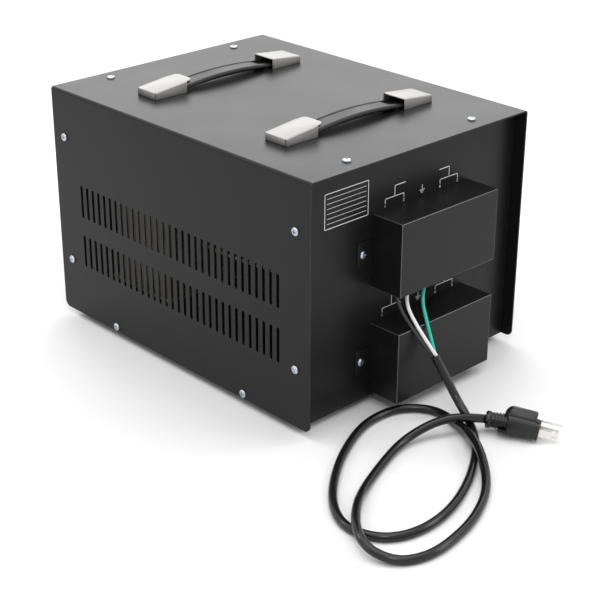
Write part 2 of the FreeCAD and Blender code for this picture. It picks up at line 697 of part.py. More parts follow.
def coil(name, side):
    """A flanged bobbin and its winding."""
    low, high = core_levels()
    gap = size("bobbin_gap")
    wall = size("bobbin_wall")
    build = size("winding_build")
    bottom = low + size("yoke_height") + gap
    top = high - size("yoke_height") - gap
    middle = (side * (size("core_width") - size("limb_width")) / 2, size("core_middle"))
    hole_x = size("limb_width") / 2 + gap
    hole_y = size("core_stack") / 2 + gap
    reach = wall + build + 1
    tube_wall = ring(hole_x + wall, hole_y + wall, hole_x, hole_y, bottom, top, middle)
    flanges = [ring(hole_x + reach, hole_y + reach, hole_x, hole_y, level, level + wall, middle)
               for level in (bottom, top - wall)]
    bobbin = tube_wall.fuse(flanges).removeSplitter()
    keep(feature("former_" + name, bobbin), name + "_bobbin")
    winding = ring(hole_x + wall + build, hole_y + wall + build, hole_x + wall + 0.1,
                   hole_y + wall + 0.1, bottom + wall + 0.1, top - wall - 0.1, middle,
                   size("winding_corner"))
    keep(feature("turns_" + name, winding), name + "_winding")


def clamps():
    """Angle feet and bars on both faces of the core, with their bolts and nuts."""
    half_stack = size("core_stack") / 2
    thick = size("clamp_thickness")
    length = size("clamp_length")
    middle = size("core_middle")
    low, high = core_levels()
    hole = size("core_bolt_radius") + size("clamp_hole_gap")
    core_holes = [cylinder(hole, 4 * half_stack, (x, middle - 2 * half_stack, z), (0, 1, 0))
                  for x, z in core_bolt_places()]
    mount_hole = size("mount_bolt_radius") + size("clamp_hole_gap")
    mount_holes = [cylinder(mount_hole, 20, (x, y, FLOOR_GAP), (0, 0, 1))
                   for x, y in mount_bolt_places()]
    bars = []
    for name, end in (("front", -1), ("rear", 1)):
        face = middle + end * (half_stack + thick / 2) - thick / 2
        upright = box(length, thick, size("clamp_height"), (-length / 2, face, BASE_TOP))
        foot_middle = middle + end * (half_stack + thick + size("clamp_foot") / 2)
        foot = box(length, size("clamp_foot"), thick,
                   (-length / 2, foot_middle - size("clamp_foot") / 2, BASE_TOP))
        angle = upright.fuse(foot).removeSplitter().cut(core_holes + mount_holes)
        keep(feature("angle_" + name, angle), f"{name}_core_foot")
        bar = box(length, thick, size("clamp_height") - 4,
                  (-length / 2, face, high - size("clamp_height") + 4))
        bars.append(bar.cut(core_holes))
    keep(feature("upper_bars", Part.makeCompound(bars)), "upper_core_bars")
    radius = size("core_bolt_radius")
    bore = radius + size("nut_bore_gap")
    across = size("core_hexagon")
    out = half_stack + thick
    end = size("core_bolt_end")
    bolts = []
    nuts = []
    for x, z in core_bolt_places():
        shank = cylinder(radius, 2 * out + end, (x, middle - out - end, z), (0, 1, 0))
        head = hexagon(across, size("core_bolt_head"), (x, middle + out, z), (0, 1, 0))
        bolts.append(shank.fuse(head).removeSplitter())
        nuts.append(hexagon(across, size("core_nut_height"), (x, middle - out, z), (0, -1, 0), bore))
    keep(feature("long_bolts", Part.makeCompound(bolts)), "core_bolts")
    keep(feature("long_bolt_nuts", Part.makeCompound(nuts)), "core_nuts")
    radius = size("mount_bolt_radius")
    bore = radius + size("nut_bore_gap")
    across = size("mount_hexagon")
    top = BASE_TOP + thick
    length = top + size("mount_bolt_end") - FLOOR_GAP
    bolts = []
    nuts = []
    for x, y in mount_bolt_places():
        shank = cylinder(radius, length, (x, y, FLOOR_GAP), (0, 0, 1))
        head = hexagon(across, size("mount_bolt_head"), (x, y, FLOOR_GAP), (0, 0, -1))
        bolts.append(shank.fuse(head).removeSplitter())
        nuts.append(hexagon(across, size("mount_nut_height"), (x, y, top), (0, 0, 1), bore))
    keep(feature("short_bolts", Part.makeCompound(bolts)), "transformer_bolts")
    keep(feature("short_bolt_nuts", Part.makeCompound(nuts)), "transformer_nuts")


# How each inner lead crosses the cabinet from its coil to its grommet, chosen by hand: the
# share of the way sideways, along and up at each point.
LEAD_SWEEP = [(0, 0, 0), (0.1, 0.2, 0.12), (0.55, 0.52, 0.55), (0.86, 0.81, 0.95), (1, 1, 1)]


def inner_leads():
    """Grommets in the rear panel and the leads from the coils to the terminals."""
    radius = size("grommet_radius") - size("grommet_gap")
    lip = radius + size("grommet_lip")
    lip_thick = size("grommet_lip_thickness")
    bore = size("lead_radius") + size("grommet_bore_gap")
    grommets = []
    leads = []
    coil_face = size("core_middle") + size("core_stack") / 2 + size("bobbin_wall") + size("winding_build")
    start = coil_face + size("lead_radius") / 2
    run = PANEL_BACK - size("flange_depth") - 2 * size("grommet_radius") - start
    block_face = PANEL_FACE + size("block_depth")
    tip = block_face + size("plate_thickness") + 1.5 * size("lead_radius")
    rise = size("grommet_rise")
    drop = rise + size("terminal_row_inset") - size("terminal_head_radius") - size("sheet_gap")
    coil_level = sum(core_levels()) / 2
    for x, z in grommet_places():
        body = cylinder(radius, size("panel_sheet"), (x, PANEL_BACK, z), (0, 1, 0))
        lips = [cylinder(lip, lip_thick, (x, y, z), (0, 1, 0))
                for y in (PANEL_BACK - lip_thick, PANEL_FACE)]
        body = body.fuse(lips).removeSplitter()
        length = size("panel_sheet") + 4 * lip_thick
        grommets.append(body.cut(cylinder(bore, length, (x, PANEL_BACK - 2 * lip_thick, z), (0, 1, 0))))
        coil_x = 1.8 * x + size("limb_width")
        coil_z = coil_level + 0.1 * (z - BASE_TOP)
        crossing = [(coil_x + (x - coil_x) * across, start + run * along, coil_z + (z - coil_z) * up)
                    for across, along, up in LEAD_SWEEP]
        ending = [(x, block_face - lip_thick, z), (x, tip, z - drop / 2), (x, tip, z - drop)]
        leads.append(tube(crossing + ending, size("lead_radius")))
    keep(feature("rubber_grommets", Part.makeCompound(grommets)), "panel_grommets")
    keep(feature("coil_leads", Part.makeCompound(leads)), "inner_leads")


def breaker():
    """A toggle breaker behind the front panel."""
    x = size("breaker_place")
    z = size("breaker_height")
    back = -PANEL_BACK
    body = box(size("breaker_width"), size("breaker_depth"), size("breaker_tall"),
               (x - size("breaker_width") / 2, back, z - size("breaker_tall") / 2))
    width = size("toggle_width") + 1
    pocket = box(width, 17, size("toggle_length") + 11,
                 (x - width / 2, back, z - size("toggle_length") / 2 - 5.5))
    pivot_y = back + 7
    pin = cylinder(size("pivot_radius"), width, (x - width / 2, pivot_y, z), (1, 0, 0))
    keep(feature("breaker_case", body.cut(pocket).fuse(pin)), "breaker_body")
    half = size("toggle_width") / 2
    hub = cylinder(size("toggle_radius"), 2 * half, (x - half, pivot_y, z), (1, 0, 0))
    root = size("toggle_radius")
    lever = prism([(x - half, pivot_y, z - 0.7 * root), (x - half, pivot_y - size("toggle_length"), z - 2.2),
                   (x - half, pivot_y - size("toggle_length"), z + 2.2), (x - half, pivot_y, z + 0.7 * root)],
                  (2 * half, 0, 0))
    bore = cylinder(size("pivot_radius") + size("pivot_clearance"), 2 * half + 2,
                    (x - half - 1, pivot_y, z), (1, 0, 0))
    toggle = hub.fuse(lever).removeSplitter().cut(bore)
    toggle.rotate(Vector(x, pivot_y, z), Vector(1, 0, 0), TOGGLE_REST)
    keep(feature("breaker_lever", toggle), "breaker_toggle")


def voltmeter():
    """A moving-needle meter: case, dial, needle on its pivot and a clear window."""
    z = size("meter_height")
    half = size("meter_face") / 2
    front = -PANEL_FACE - size("meter_face_depth")
    wall = size("meter_wall")
    face = box(2 * half, size("meter_face_depth"), 2 * half, (-half, front, z - half))
    barrel = cylinder(size("meter_barrel_radius"), size("meter_barrel_depth"),
                      (0, -PANEL_FACE, z), (0, 1, 0))
    well = size("meter_face_depth") - wall
    pocket = box(2 * (half - wall), well, 2 * (half - wall), (-half + wall, front, z - half + wall))
    pivot_z = z - size("needle_pivot_drop")
    dial_back = front + well
    dial_thick = 0.8
    pin_radius = 1.2
    pin = cylinder(pin_radius, 4, (0, dial_back - 4, pivot_z), (0, 1, 0))
    keep(feature("meter_case", face.fuse(barrel).cut(pocket).fuse(pin).removeSplitter()),
         "voltmeter_case")
    inset = half - wall - 0.3
    dial = box(2 * inset, dial_thick, 2 * inset, (-inset, dial_back - dial_thick, z - inset))
    dial_hole = cylinder(pin_radius + 0.2, 4, (0, dial_back - 3, pivot_z), (0, 1, 0))
    keep(feature("meter_dial", dial.cut(dial_hole)), "voltmeter_dial")
    needle_y = dial_back - dial_thick - 1.2
    hub = cylinder(3, 1, (0, needle_y - 0.5, pivot_z), (0, 1, 0))
    arm = box(1, 0.6, size("needle_length"), (-0.5, needle_y - 0.3, pivot_z))
    bore = cylinder(pin_radius + size("pivot_clearance"), 4, (0, needle_y - 2, pivot_z), (0, 1, 0))
    needle = hub.fuse(arm).removeSplitter().cut(bore)
    needle.rotate(Vector(0, 0, pivot_z), Vector(0, 1, 0), NEEDLE_REST)
    keep(feature("meter_needle", needle), "voltmeter_needle")
    window = box(2 * inset, size("window_thickness"), 2 * inset, (-inset, front, z - inset))
    keep(feature("meter_window", window), "voltmeter_window")


def pilot_lamp():
    """A panel lamp: a threaded holder with a bezel, and a domed lens."""
    x = size("lamp_place")
    z = size("lamp_height")
    radius = size("lamp_radius")
    bezel = cylinder(radius, 2, (x, -PANEL_FACE - 2, z), (0, 1, 0))
    stem = cylinder(radius - 1.5, 22, (x, -PANEL_FACE, z), (0, 1, 0))
    seat = cylinder(radius - 2.5, 3, (x, -PANEL_FACE - 2, z), (0, 1, 0))
    keep(feature("lamp_holder", bezel.fuse(stem).removeSplitter().cut(seat)), "pilot_lamp_holder")
    lens_radius = radius - 2.6
    stub = cylinder(lens_radius, 3.8, (x, -PANEL_FACE - 3, z), (0, 1, 0))
    ball = Part.makeSphere(lens_radius, Vector(x, -PANEL_FACE - 3, z))
    front_half = box(4 * radius, 2 * radius, 4 * radius,
                     (x - 2 * radius, -PANEL_FACE - 3 - 2 * radius, z - 2 * radius))
    keep(feature("lamp_lens", stub.fuse(ball.common(front_half)).removeSplitter()),
         "pilot_lamp_lens")


def outlet(label, x):
    """A three-hole receptacle set in the front panel."""
    z = size("outlet_height")
    width = size("outlet_width")
    tall = size("outlet_tall")
    face = box(width, size("outlet_face"), tall, (x - width / 2, -PANEL_FACE - size("outlet_face"),
                                                  z - tall / 2))
    body = box(width - 8, size("outlet_depth"), tall - 8,
               (x - width / 2 + 4, -PANEL_FACE, z - tall / 2 + 4))
    start = -PANEL_FACE - size("outlet_face") - 1
    reach = size("blade_length") + 2
    slot_wide = size("blade_thickness") + 0.6
    slot_tall = size("blade_width") + 0.8
    cutters = [box(slot_wide, reach, slot_tall,
                   (x + side * size("blade_spacing") / 2 - slot_wide / 2, start, z)) for side in SIDES]
    slot_middle = z + slot_tall / 2
    pin_drop = size("ground_pin_level") - size("blade_level")
    cutters.append(cylinder(size("ground_pin_radius") + 0.3, reach + 3,
                            (x, start, slot_middle - pin_drop), (0, 1, 0)))
    keep(feature(label + "_moulding", face.fuse(body).removeSplitter().cut(cutters)), label)


def supply_cord():
    """Three leads from the input terminals, the jacket in two loose loops, and the plug."""
    for label, route in LEAD_ROUTES.items():
        keep(feature(label + "_tube", tube(route, size("lead_radius"))), label)
    keep(feature("jacket_tube", tube(JACKET_ROUTE, size("jacket_radius"))), "cord_jacket")
    end = Vector(*JACKET_ROUTE[-1])
    relief_turn = Placement(end, Rotation(*RELIEF_TURN))
    length = size("relief_length")
    radius = size("relief_radius")
    relief = Part.makeCylinder(radius - 1.2, length, Vector(), Vector(1, 0, 0))
    collar = Part.makeCylinder(radius, 6, Vector(), Vector(1, 0, 0))
    ribs = [Part.makeCylinder(radius + 0.5, 1.8, Vector(8 + 3 * number, 0, 0), Vector(1, 0, 0))
            for number in range(4)]
    relief = relief.fuse([collar] + ribs).removeSplitter()
    relief.Placement = relief_turn
    keep(feature("relief", relief), "plug_strain_relief")
    nose = relief_turn.multVec(Vector(length + 0.2, 0, 0))
    plug(Placement(nose, Rotation(*PLUG_TURN)))


def plug(turn):
    """A straight three-pin plug that lies with its ground pin uppermost."""
    half = size("plug_half_width")
    length = size("plug_length")
    low = size("plug_low_side")
    body = box(length, 2 * half, low + size("plug_high_side"), (0, -half, -low))
    ridge_radius = size("plug_ridge_radius")
    ridge = cylinder(ridge_radius, length - ridge_radius / 2, (0, 0, size("plug_ridge_level")), (1, 0, 0))
    body = body.fuse(ridge).removeSplitter()
    level = size("blade_level")
    thick = size("blade_thickness")
    width = size("blade_width")
    seat = size("blade_seat")
    tip = length + size("blade_length")
    blades = []
    for side in SIDES:
        middle = side * size("blade_spacing") / 2
        blade = box(tip - length + seat, thick, width, (length - seat, middle - thick / 2, level - width / 2))
        hole = cylinder(size("blade_hole_radius"), 2 * thick,
                        (tip - size("blade_hole_reach"), middle - thick, level), (0, 1, 0))
        blades.append(blade.cut(hole))
    pin = cylinder(size("ground_pin_radius"), size("ground_pin_length") + seat,
                   (length - seat, 0, size("ground_pin_level")), (1, 0, 0))
    body = body.cut(blades + [pin])
    for shape in blades + [body, pin]:
        shape.Placement = turn.multiply(shape.Placement)
    keep(feature("plug_moulding", body), "plug_body")
    keep(feature("plug_blade_pair", Part.makeCompound(blades)), "plug_blades")
    keep(feature("plug_pin", pin), "plug_ground_pin")


cover()
base_plate()
panel("front_panel", -1, front_openings())
panel("rear_panel", 1, rear_openings())
feet()
small_screws()
handles()
for kind in ("input", "output"):
    level_alias = "upper_box_foot" if kind == "input" else "lower_box_foot"
    terminal_cover(kind + "_terminal_cover", level_alias)
    terminal_block(kind + "_terminal_block", level_alias)
terminal_hardware()
transformer()
inner_leads()
breaker()
voltmeter()
pilot_lamp()
outlet("left_outlet", -size("outlet_place"))
outlet("right_outlet", size("outlet_place"))
supply_cord()
doc.recompute()

for item in doc.Objects:
    bad = [word for word in ("Invalid", "Error") if word in item.State]
    if bad:
        raise RuntimeError(f"{item.Label} is {bad}")
for item in nodes:
    if item.Shape.isNull() or not item.Shape.isValid():
        raise RuntimeError(f"{item.Label} has no valid shape")

os.makedirs("parts", exist_ok=True)
for item in nodes:
    item.Shape.exportStep(f"parts/{item.Label}.step")
print(len(nodes), "sub-parts")
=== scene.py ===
"""Looks of a step-up and step-down autotransformer in a black sheet-steel cabinet.

The scene is in metres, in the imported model's frame: origin on the floor under the cabinet, +Z up,
front panel towards -Y, terminal side towards +Y. The points of the cords' routes, and of the
profiles of the jacket's rim and the plug, are in millimetres and are scaled where they are used.
"""
import json
import math

import bmesh
import bpy
from mathutils import Matrix, Vector


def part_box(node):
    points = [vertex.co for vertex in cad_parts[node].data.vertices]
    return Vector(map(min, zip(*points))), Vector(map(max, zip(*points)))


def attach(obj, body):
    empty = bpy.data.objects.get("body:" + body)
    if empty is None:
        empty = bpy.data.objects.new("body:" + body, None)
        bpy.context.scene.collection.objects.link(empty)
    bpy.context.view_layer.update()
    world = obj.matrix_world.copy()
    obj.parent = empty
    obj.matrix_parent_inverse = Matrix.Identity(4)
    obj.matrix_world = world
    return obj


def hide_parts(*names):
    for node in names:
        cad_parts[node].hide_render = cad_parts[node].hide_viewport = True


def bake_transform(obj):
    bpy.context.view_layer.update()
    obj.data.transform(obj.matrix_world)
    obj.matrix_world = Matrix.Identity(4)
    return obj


MM = 0.001
SIDES = (-1, 1)
SCENE = bpy.context.scene

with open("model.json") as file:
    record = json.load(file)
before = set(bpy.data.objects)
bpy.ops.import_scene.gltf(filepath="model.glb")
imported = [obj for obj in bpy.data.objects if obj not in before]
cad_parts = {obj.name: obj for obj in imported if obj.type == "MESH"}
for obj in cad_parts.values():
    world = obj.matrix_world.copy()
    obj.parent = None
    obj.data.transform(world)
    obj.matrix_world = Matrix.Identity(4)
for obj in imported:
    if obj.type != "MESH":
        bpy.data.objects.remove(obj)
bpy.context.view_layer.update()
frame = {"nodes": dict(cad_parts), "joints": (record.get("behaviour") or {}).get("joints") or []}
NODES = frame["nodes"]
Y, Z = Vector((0, 1, 0)), Vector((0, 0, 1))


def linked(name, data):
    """An object with this data, put into the scene."""
    item = bpy.data.objects.new(name, data)
    SCENE.collection.objects.link(item)
    return item



# ---------------------------------------------------------------- camera

CAMERA_AZIMUTH = 136.376
CAMERA_ELEVATION = 25.298
CAMERA_ROLL = 0.174
CAMERA_ASIDE = 16.9 * MM
CAMERA_ABOVE = 21.5 * MM
CAMERA_DISTANCE = 1608.6 * MM
CAMERA_LENS = 89.02
CAMERA_CLIP = 50 * MM


def add_camera():
    """The photograph's view: angles in degrees, aimed beside and above the cabinet's foot."""
    azimuth, elevation, roll = map(math.radians, (CAMERA_AZIMUTH, CAMERA_ELEVATION, CAMERA_ROLL))
    back = Vector((math.sin(azimuth) * math.cos(elevation),
                   -math.cos(azimuth) * math.cos(elevation), math.sin(elevation)))
    right = Z.cross(back).normalized()
    up = back.cross(right)
    turned_right = right * math.cos(roll) + up * math.sin(roll)
    turned_up = up * math.cos(roll) - right * math.sin(roll)
    data = bpy.data.cameras.new("camera")
    data.lens = CAMERA_LENS
    data.clip_start = CAMERA_CLIP
    camera = linked("camera", data)
    turn = Matrix((turned_right, turned_up, back)).transposed().to_4x4()
    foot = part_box("feet")[1].z
    place = (turned_right * CAMERA_ASIDE + turned_up * CAMERA_ABOVE + back * CAMERA_DISTANCE
             + Z * foot)
    camera.matrix_world = Matrix.Translation(place) @ turn
    SCENE.camera = camera


add_camera()

# ---------------------------------------------------------------- materials

NOISE_LOW, NOISE_HIGH = 0.3, 0.7  # where a noise texture counts as all dark and all light
WAVE_SCALE = 3.1  # a wave texture's lines lie about 1 / (3.1 * scale) apart
LEAST_ROUGH = 0.02


def node(tree, kind, **settings):
    """A new node, with each setting put into its socket of that name or else its property."""
    item = tree.nodes.new(kind)
    for name, value in settings.items():
        if name in item.inputs:
            item.inputs[name].default_value = value
        else:
            setattr(item, name, value)
    return item


def surface(name, color, rough, metallic=0.0, shade=0.12, blotch=14, gloss_spread=0.06,
            grain=0.2, grain_size=0.8 * MM, grain_depth=0.05 * MM, stretch=(1, 1, 1), **sockets):
    """A surface with fine relief, faint blotches of lighter and darker colour and uneven gloss."""
    made = bpy.data.materials.new(name)
    made.use_nodes = True
    tree = made.node_tree
    shader = tree.nodes["Principled BSDF"]
    shader.inputs["Metallic"].default_value = metallic
    for socket, value in sockets.items():
        shader.inputs[socket.replace("_", " ")].default_value = value
    place = node(tree, "ShaderNodeTexCoord")
    stretched = node(tree, "ShaderNodeMapping")
    stretched.inputs["Scale"].default_value = stretch
    tree.links.new(place.outputs["Object"], stretched.inputs["Vector"])
    broad = node(tree, "ShaderNodeTexNoise", Scale=blotch, Detail=4.0, Roughness=0.6)
    tree.links.new(stretched.outputs["Vector"], broad.inputs["Vector"])
    colors = node(tree, "ShaderNodeValToRGB")
    low, high = colors.color_ramp.elements
    low.position = NOISE_LOW
    high.position = NOISE_HIGH
    low.color = (*[channel * (1 - shade) for channel in color], 1)
    high.color = (*[min(1, channel * (1 + shade)) for channel in color], 1)
    tree.links.new(broad.outputs["Fac"], colors.inputs["Fac"])
    tree.links.new(colors.outputs["Color"], shader.inputs["Base Color"])
    gloss = node(tree, "ShaderNodeMapRange")
    gloss.inputs["From Min"].default_value = NOISE_LOW
    gloss.inputs["From Max"].default_value = NOISE_HIGH
    gloss.inputs["To Min"].default_value = max(LEAST_ROUGH, rough - gloss_spread)
    gloss.inputs["To Max"].default_value = rough + gloss_spread
    tree.links.new(broad.outputs["Fac"], gloss.inputs["Value"])
    tree.links.new(gloss.outputs["Result"], shader.inputs["Roughness"])
    fine = node(tree, "ShaderNodeTexNoise", Scale=1 / grain_size, Detail=2.0, Roughness=0.5)
    tree.links.new(stretched.outputs["Vector"], fine.inputs["Vector"])
    relief = node(tree, "ShaderNodeBump", Strength=grain, Distance=grain_depth)
    tree.links.new(fine.outputs["Fac"], relief.inputs["Height"])
    tree.links.new(relief.outputs["Normal"], shader.inputs["Normal"])
    return made


def layered(made, direction, pitch, strength=0.5, depth=0.2 * MM):
    """Add even lines across one direction to a surface, such as sheets in a stack or turns."""
    tree = made.node_tree
    lines = node(tree, "ShaderNodeTexWave", wave_type="BANDS", bands_direction=direction,
                 wave_profile="SIN", Scale=1 / (pitch * WAVE_SCALE), Distortion=0.4, Detail=1.0)
    lines.inputs["Detail Scale"].default_value = 2.0
    place = next(item for item in tree.nodes if item.type == "TEX_COORD")
    fine = next(item for item in tree.nodes if item.type == "BUMP")
    tree.links.new(place.outputs["Object"], lines.inputs["Vector"])
    relief = node(tree, "ShaderNodeBump", Strength=strength, Distance=depth)
    tree.links.new(lines.outputs["Fac"], relief.inputs["Height"])
    tree.links.new(fine.outputs["Normal"], relief.inputs["Normal"])
    tree.links.new(relief.outputs["Normal"], tree.nodes["Principled BSDF"].inputs["Normal"])
    return made


COAT = surface("powder coat", (0.0095, 0.0095, 0.0097), 0.34, grain=0.7, grain_size=1.1 * MM,
               grain_depth=0.09 * MM, shade=0.1, gloss_spread=0.02, Specular_IOR_Level=0.19)
PANEL_COAT = surface("panel coat", (0.009, 0.009, 0.009), 0.36, grain=0.7, grain_size=1.1 * MM,
                     grain_depth=0.09 * MM, gloss_spread=0.02, Specular_IOR_Level=0.19)
# A lighter, glossier coat for the rounded bends of the sheets: a painted highlight standing in for
# the light the bends catch.
PAINTED_EDGE_HIGHLIGHT = surface("coat with painted highlight at the bends", (0.085, 0.085, 0.085), 0.26, shade=0.25, blotch=60,
                    Specular_IOR_Level=0.7)
ZINC = surface("bright zinc", (0.5, 0.53, 0.58), 0.26, 1.0, grain=0.1, shade=0.08, blotch=160)
NICKEL = surface("satin nickel", (0.36, 0.354, 0.345), 0.52, 1.0, shade=0.04, blotch=60, grain=0.12,
                 grain_size=0.5 * MM, grain_depth=0.02 * MM, stretch=(0.12, 1, 1))
RUBBER = surface("strap rubber", (0.012, 0.012, 0.0125), 0.42, shade=0.18, blotch=40, grain=0.15,
                 grain_size=0.5 * MM, Specular_IOR_Level=0.25)
FOOT_RUBBER = surface("foot rubber", (0.03, 0.03, 0.03), 0.8, grain=0.3)
MOULDING = surface("black moulding", (0.013, 0.013, 0.0135), 0.34, grain=0.2, grain_size=0.4 * MM,
                   Specular_IOR_Level=0.4)
GLOSSY = surface("glossy black", (0.015, 0.015, 0.016), 0.18, grain=0.03)
BRASS = surface("plated brass", (0.76, 0.6, 0.32), 0.3, 1.0, blotch=120, grain=0.1)
BLADES = surface("nickel plated brass", (0.8, 0.77, 0.72), 0.32, 1.0, blotch=90, shade=0.04,
                 grain=0.05)
LAMINATIONS = layered(surface("varnished laminations", (0.12, 0.115, 0.11), 0.45, 0.35, grain=0.3),
                      "Y", 0.5 * MM)
FORMER = surface("coil former", (0.7, 0.64, 0.5), 0.6, blotch=30)
WIRE = surface("enamelled wire", (0.3, 0.25, 0.18), 0.34, 0.25, shade=0.15, blotch=50, grain=0.1)
FRAME_STEEL = surface("frame steel", (0.08, 0.08, 0.085), 0.45, 0.2, grain=0.3)
DIAL = surface("dial white", (0.84, 0.84, 0.81), 0.6, shade=0.02, grain=0.05)
PRINT = surface("white print", (0.94, 0.94, 0.92), 0.55, shade=0.03, grain=0.1)
INK = surface("black ink", (0.02, 0.02, 0.02), 0.6, grain=0.05)
NEEDLE = surface("needle red", (0.6, 0.05, 0.04), 0.4, grain=0.02)
LAMP = surface("lamp red", (0.72, 0.04, 0.03), 0.12, shade=0.05, grain=0.02,
               Transmission_Weight=0.55, IOR=1.5)
CLEAR = surface("clear window", (0.98, 0.99, 0.99), 0.03, shade=0.0, gloss_spread=0.01, grain=0.01,
                Transmission_Weight=1.0, IOR=1.49)
JACKET = surface("cord jacket", (0.008, 0.008, 0.0083), 0.2, shade=0.1, blotch=25,
                 gloss_spread=0.02, grain=0.03, grain_size=0.7 * MM, Specular_IOR_Level=0.4)
LEADS = {
    "lead_black": surface("black lead", (0.016, 0.016, 0.017), 0.3, shade=0.15, grain=0.08),
    "lead_white": surface("white lead", (0.93, 0.93, 0.92), 0.35, shade=0.03, grain=0.08),
    "lead_green": surface("green lead", (0.02, 0.55, 0.42), 0.35, shade=0.06, grain=0.08),
}
INNER_LEAD = surface("inner lead", (0.72, 0.66, 0.5), 0.5, shade=0.1, blotch=80)
FLOOR = surface("studio floor", (0.92, 0.92, 0.92), 0.9, shade=0.0, gloss_spread=0.0, grain=0.0)

CAD_LOOKS = {
    COAT: ["cover", "input_terminal_cover", "output_terminal_cover"],
    PANEL_COAT: ["front_panel", "rear_panel", "base_plate"],
    FOOT_RUBBER: ["feet", "panel_grommets"],
    RUBBER: [f"{end}_strap_tongue_{side}" for end in ("front", "rear")
             for side in ("left", "right")],
    MOULDING: ["input_terminal_block", "output_terminal_block", "breaker_body", "voltmeter_case",
               "left_outlet", "right_outlet"],
    GLOSSY: ["breaker_toggle"],
    ZINC: ["handle_screws", "handle_nuts", "core_bolts", "core_nuts", "transformer_bolts",
           "transformer_nuts", "terminal_screws"],
    NICKEL: ["pilot_lamp_holder"],
    BRASS: ["terminal_plates"],
    BLADES: ["plug_blades", "plug_ground_pin"],
    LAMINATIONS: ["transformer_core"],
    FORMER: ["left_bobbin", "right_bobbin"],
    FRAME_STEEL: ["front_core_foot", "rear_core_foot", "upper_core_bars"],
    DIAL: ["voltmeter_dial"],
    NEEDLE: ["voltmeter_needle"],
    LAMP: ["pilot_lamp_lens"],
    CLEAR: ["voltmeter_window"],
    INNER_LEAD: ["inner_leads"],
}
for look, names in CAD_LOOKS.items():
    for name in names:
        NODES[name].data.materials.clear()
        NODES[name].data.materials.append(look)

# ---------------------------------------------------------------- mesh helpers

WELD_DISTANCE = 0.002 * MM
SOLID_WELD_DISTANCE = 0.001 * MM
SOFT_SEGMENTS = 2
SOFT_ANGLE = 40
CORNER_STEPS = 6


def soften(target, width, edge=None):
    """Round the edges of a shape a little, with a lighter look on the rounds if one is given, a
    painted highlight along the bends.
    """
    weld = target.modifiers.new("weld", "WELD")
    weld.merge_threshold = WELD_DISTANCE
    bevel = target.modifiers.new("bevel", "BEVEL")
    bevel.width = width
    bevel.segments = SOFT_SEGMENTS
    bevel.limit_method = "ANGLE"
    bevel.angle_limit = math.radians(SOFT_ANGLE)
    bevel.harden_normals = True
    if edge:
        target.data.materials.append(edge)
        bevel.material = len(target.data.materials) - 1
    normals = target.modifiers.new("normals", "WEIGHTED_NORMAL")
    normals.keep_sharp = True


def finished(name, mesh):
    """The mesh data of a bmesh, with its faces turned outwards. The bmesh is used up."""
    bmesh.ops.recalc_face_normals(mesh, faces=mesh.faces)
    data = bpy.data.meshes.new(name)
    mesh.to_mesh(data)
    mesh.free()
    return data


def smooth(data, look, sharp):
    """Give mesh data its look and smooth shading, with sharp edges above an angle in degrees."""
    data.materials.clear()
    data.materials.append(look)
    data.shade_smooth()
    data.set_sharp_from_angle(angle=math.radians(sharp))


def evaluated(item):
    """New mesh data of an object as its modifiers or its text make it."""
    bpy.context.view_layer.update()
    depsgraph = bpy.context.evaluated_depsgraph_get()
    return bpy.data.meshes.new_from_object(item.evaluated_get(depsgraph))


def add_piece(name, mesh, look, body, replaces=(), sharp=35):
    """A mesh or a bmesh becomes a piece of the object that rides on a body."""
    data = finished(name, mesh) if isinstance(mesh, bmesh.types.BMesh) else mesh
    smooth(data, look, sharp)
    piece = linked(name, data)
    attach(piece, body)
    if replaces:
        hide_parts(*replaces)
    return piece


def facing(place, axis):
    """A matrix that puts an upright shape at a place, pointing along an axis."""
    return Matrix.Translation(place) @ Vector(axis).to_track_quat("Z", "Y").to_matrix().to_4x4()


def lathe(mesh, profile, matrix, segments=32):
    """Turn a profile of (radius, height) pairs into a round shape."""
    rings = []
    for radius, height in profile:
        if radius == 0:
            rings.append([mesh.verts.new(matrix @ Vector((0, 0, height)))])
            continue
        turns = [2 * math.pi * number / segments for number in range(segments)]
        rings.append([mesh.verts.new(matrix @ Vector((radius * math.cos(turn),
                                                      radius * math.sin(turn), height)))
                      for turn in turns])
    for low, high in zip(rings, rings[1:]):
        for number in range(segments):
            after = (number + 1) % segments
            corners = [low[number % len(low)], low[after % len(low)],
                       high[after % len(high)], high[number % len(high)]]
            unique = list(dict.fromkeys(corners))
            if len(unique) > 2:
                mesh.faces.new(unique)


def bridge(mesh, rings):
    """Join each ring of corners to the next one with four-sided faces."""
    for lower, upper in zip(rings, rings[1:]):
        for number in range(len(lower)):
            after = (number + 1) % len(lower)
            mesh.faces.new((lower[number], lower[after], upper[after], upper[number]))


def round_edges(mesh, corners, width, segments):
    """Bevel the edges at some corners, and return the corners that take their place."""
    edges = list(dict.fromkeys(edge for corner in corners for edge in corner.link_edges))
    rounded = bmesh.ops.bevel(mesh, geom=edges, offset=width, segments=segments, affect="EDGES",
                              profile=0.5)
    new = [corner for face in rounded["faces"] for corner in face.verts]
    return list(dict.fromkeys(new + [corner for corner in corners if corner.is_valid]))


def slab(mesh, low, high, bevel=0.0, matrix=None, segments=2):
    """A box between two corners with rounded edges."""
    low, high = Vector(low), Vector(high)
    middle = (low + high) / 2
    extent = high - low
    scale = Matrix.Diagonal((abs(extent.x), abs(extent.y), abs(extent.z), 1))
    made = bmesh.ops.create_cube(mesh, size=1, matrix=Matrix.Translation(middle) @ scale)
    corners = made["verts"]
    if bevel:
        corners = round_edges(mesh, corners, bevel, segments)
    if matrix:
        bmesh.ops.transform(mesh, matrix=matrix, verts=corners)


def block(mesh, low, high, bevel, matrix, segments=2):
    """A slab whose corners and bevel are given in millimetres."""
    slab(mesh, [value * MM for value in low], [value * MM for value in high], bevel * MM, matrix,
         segments)


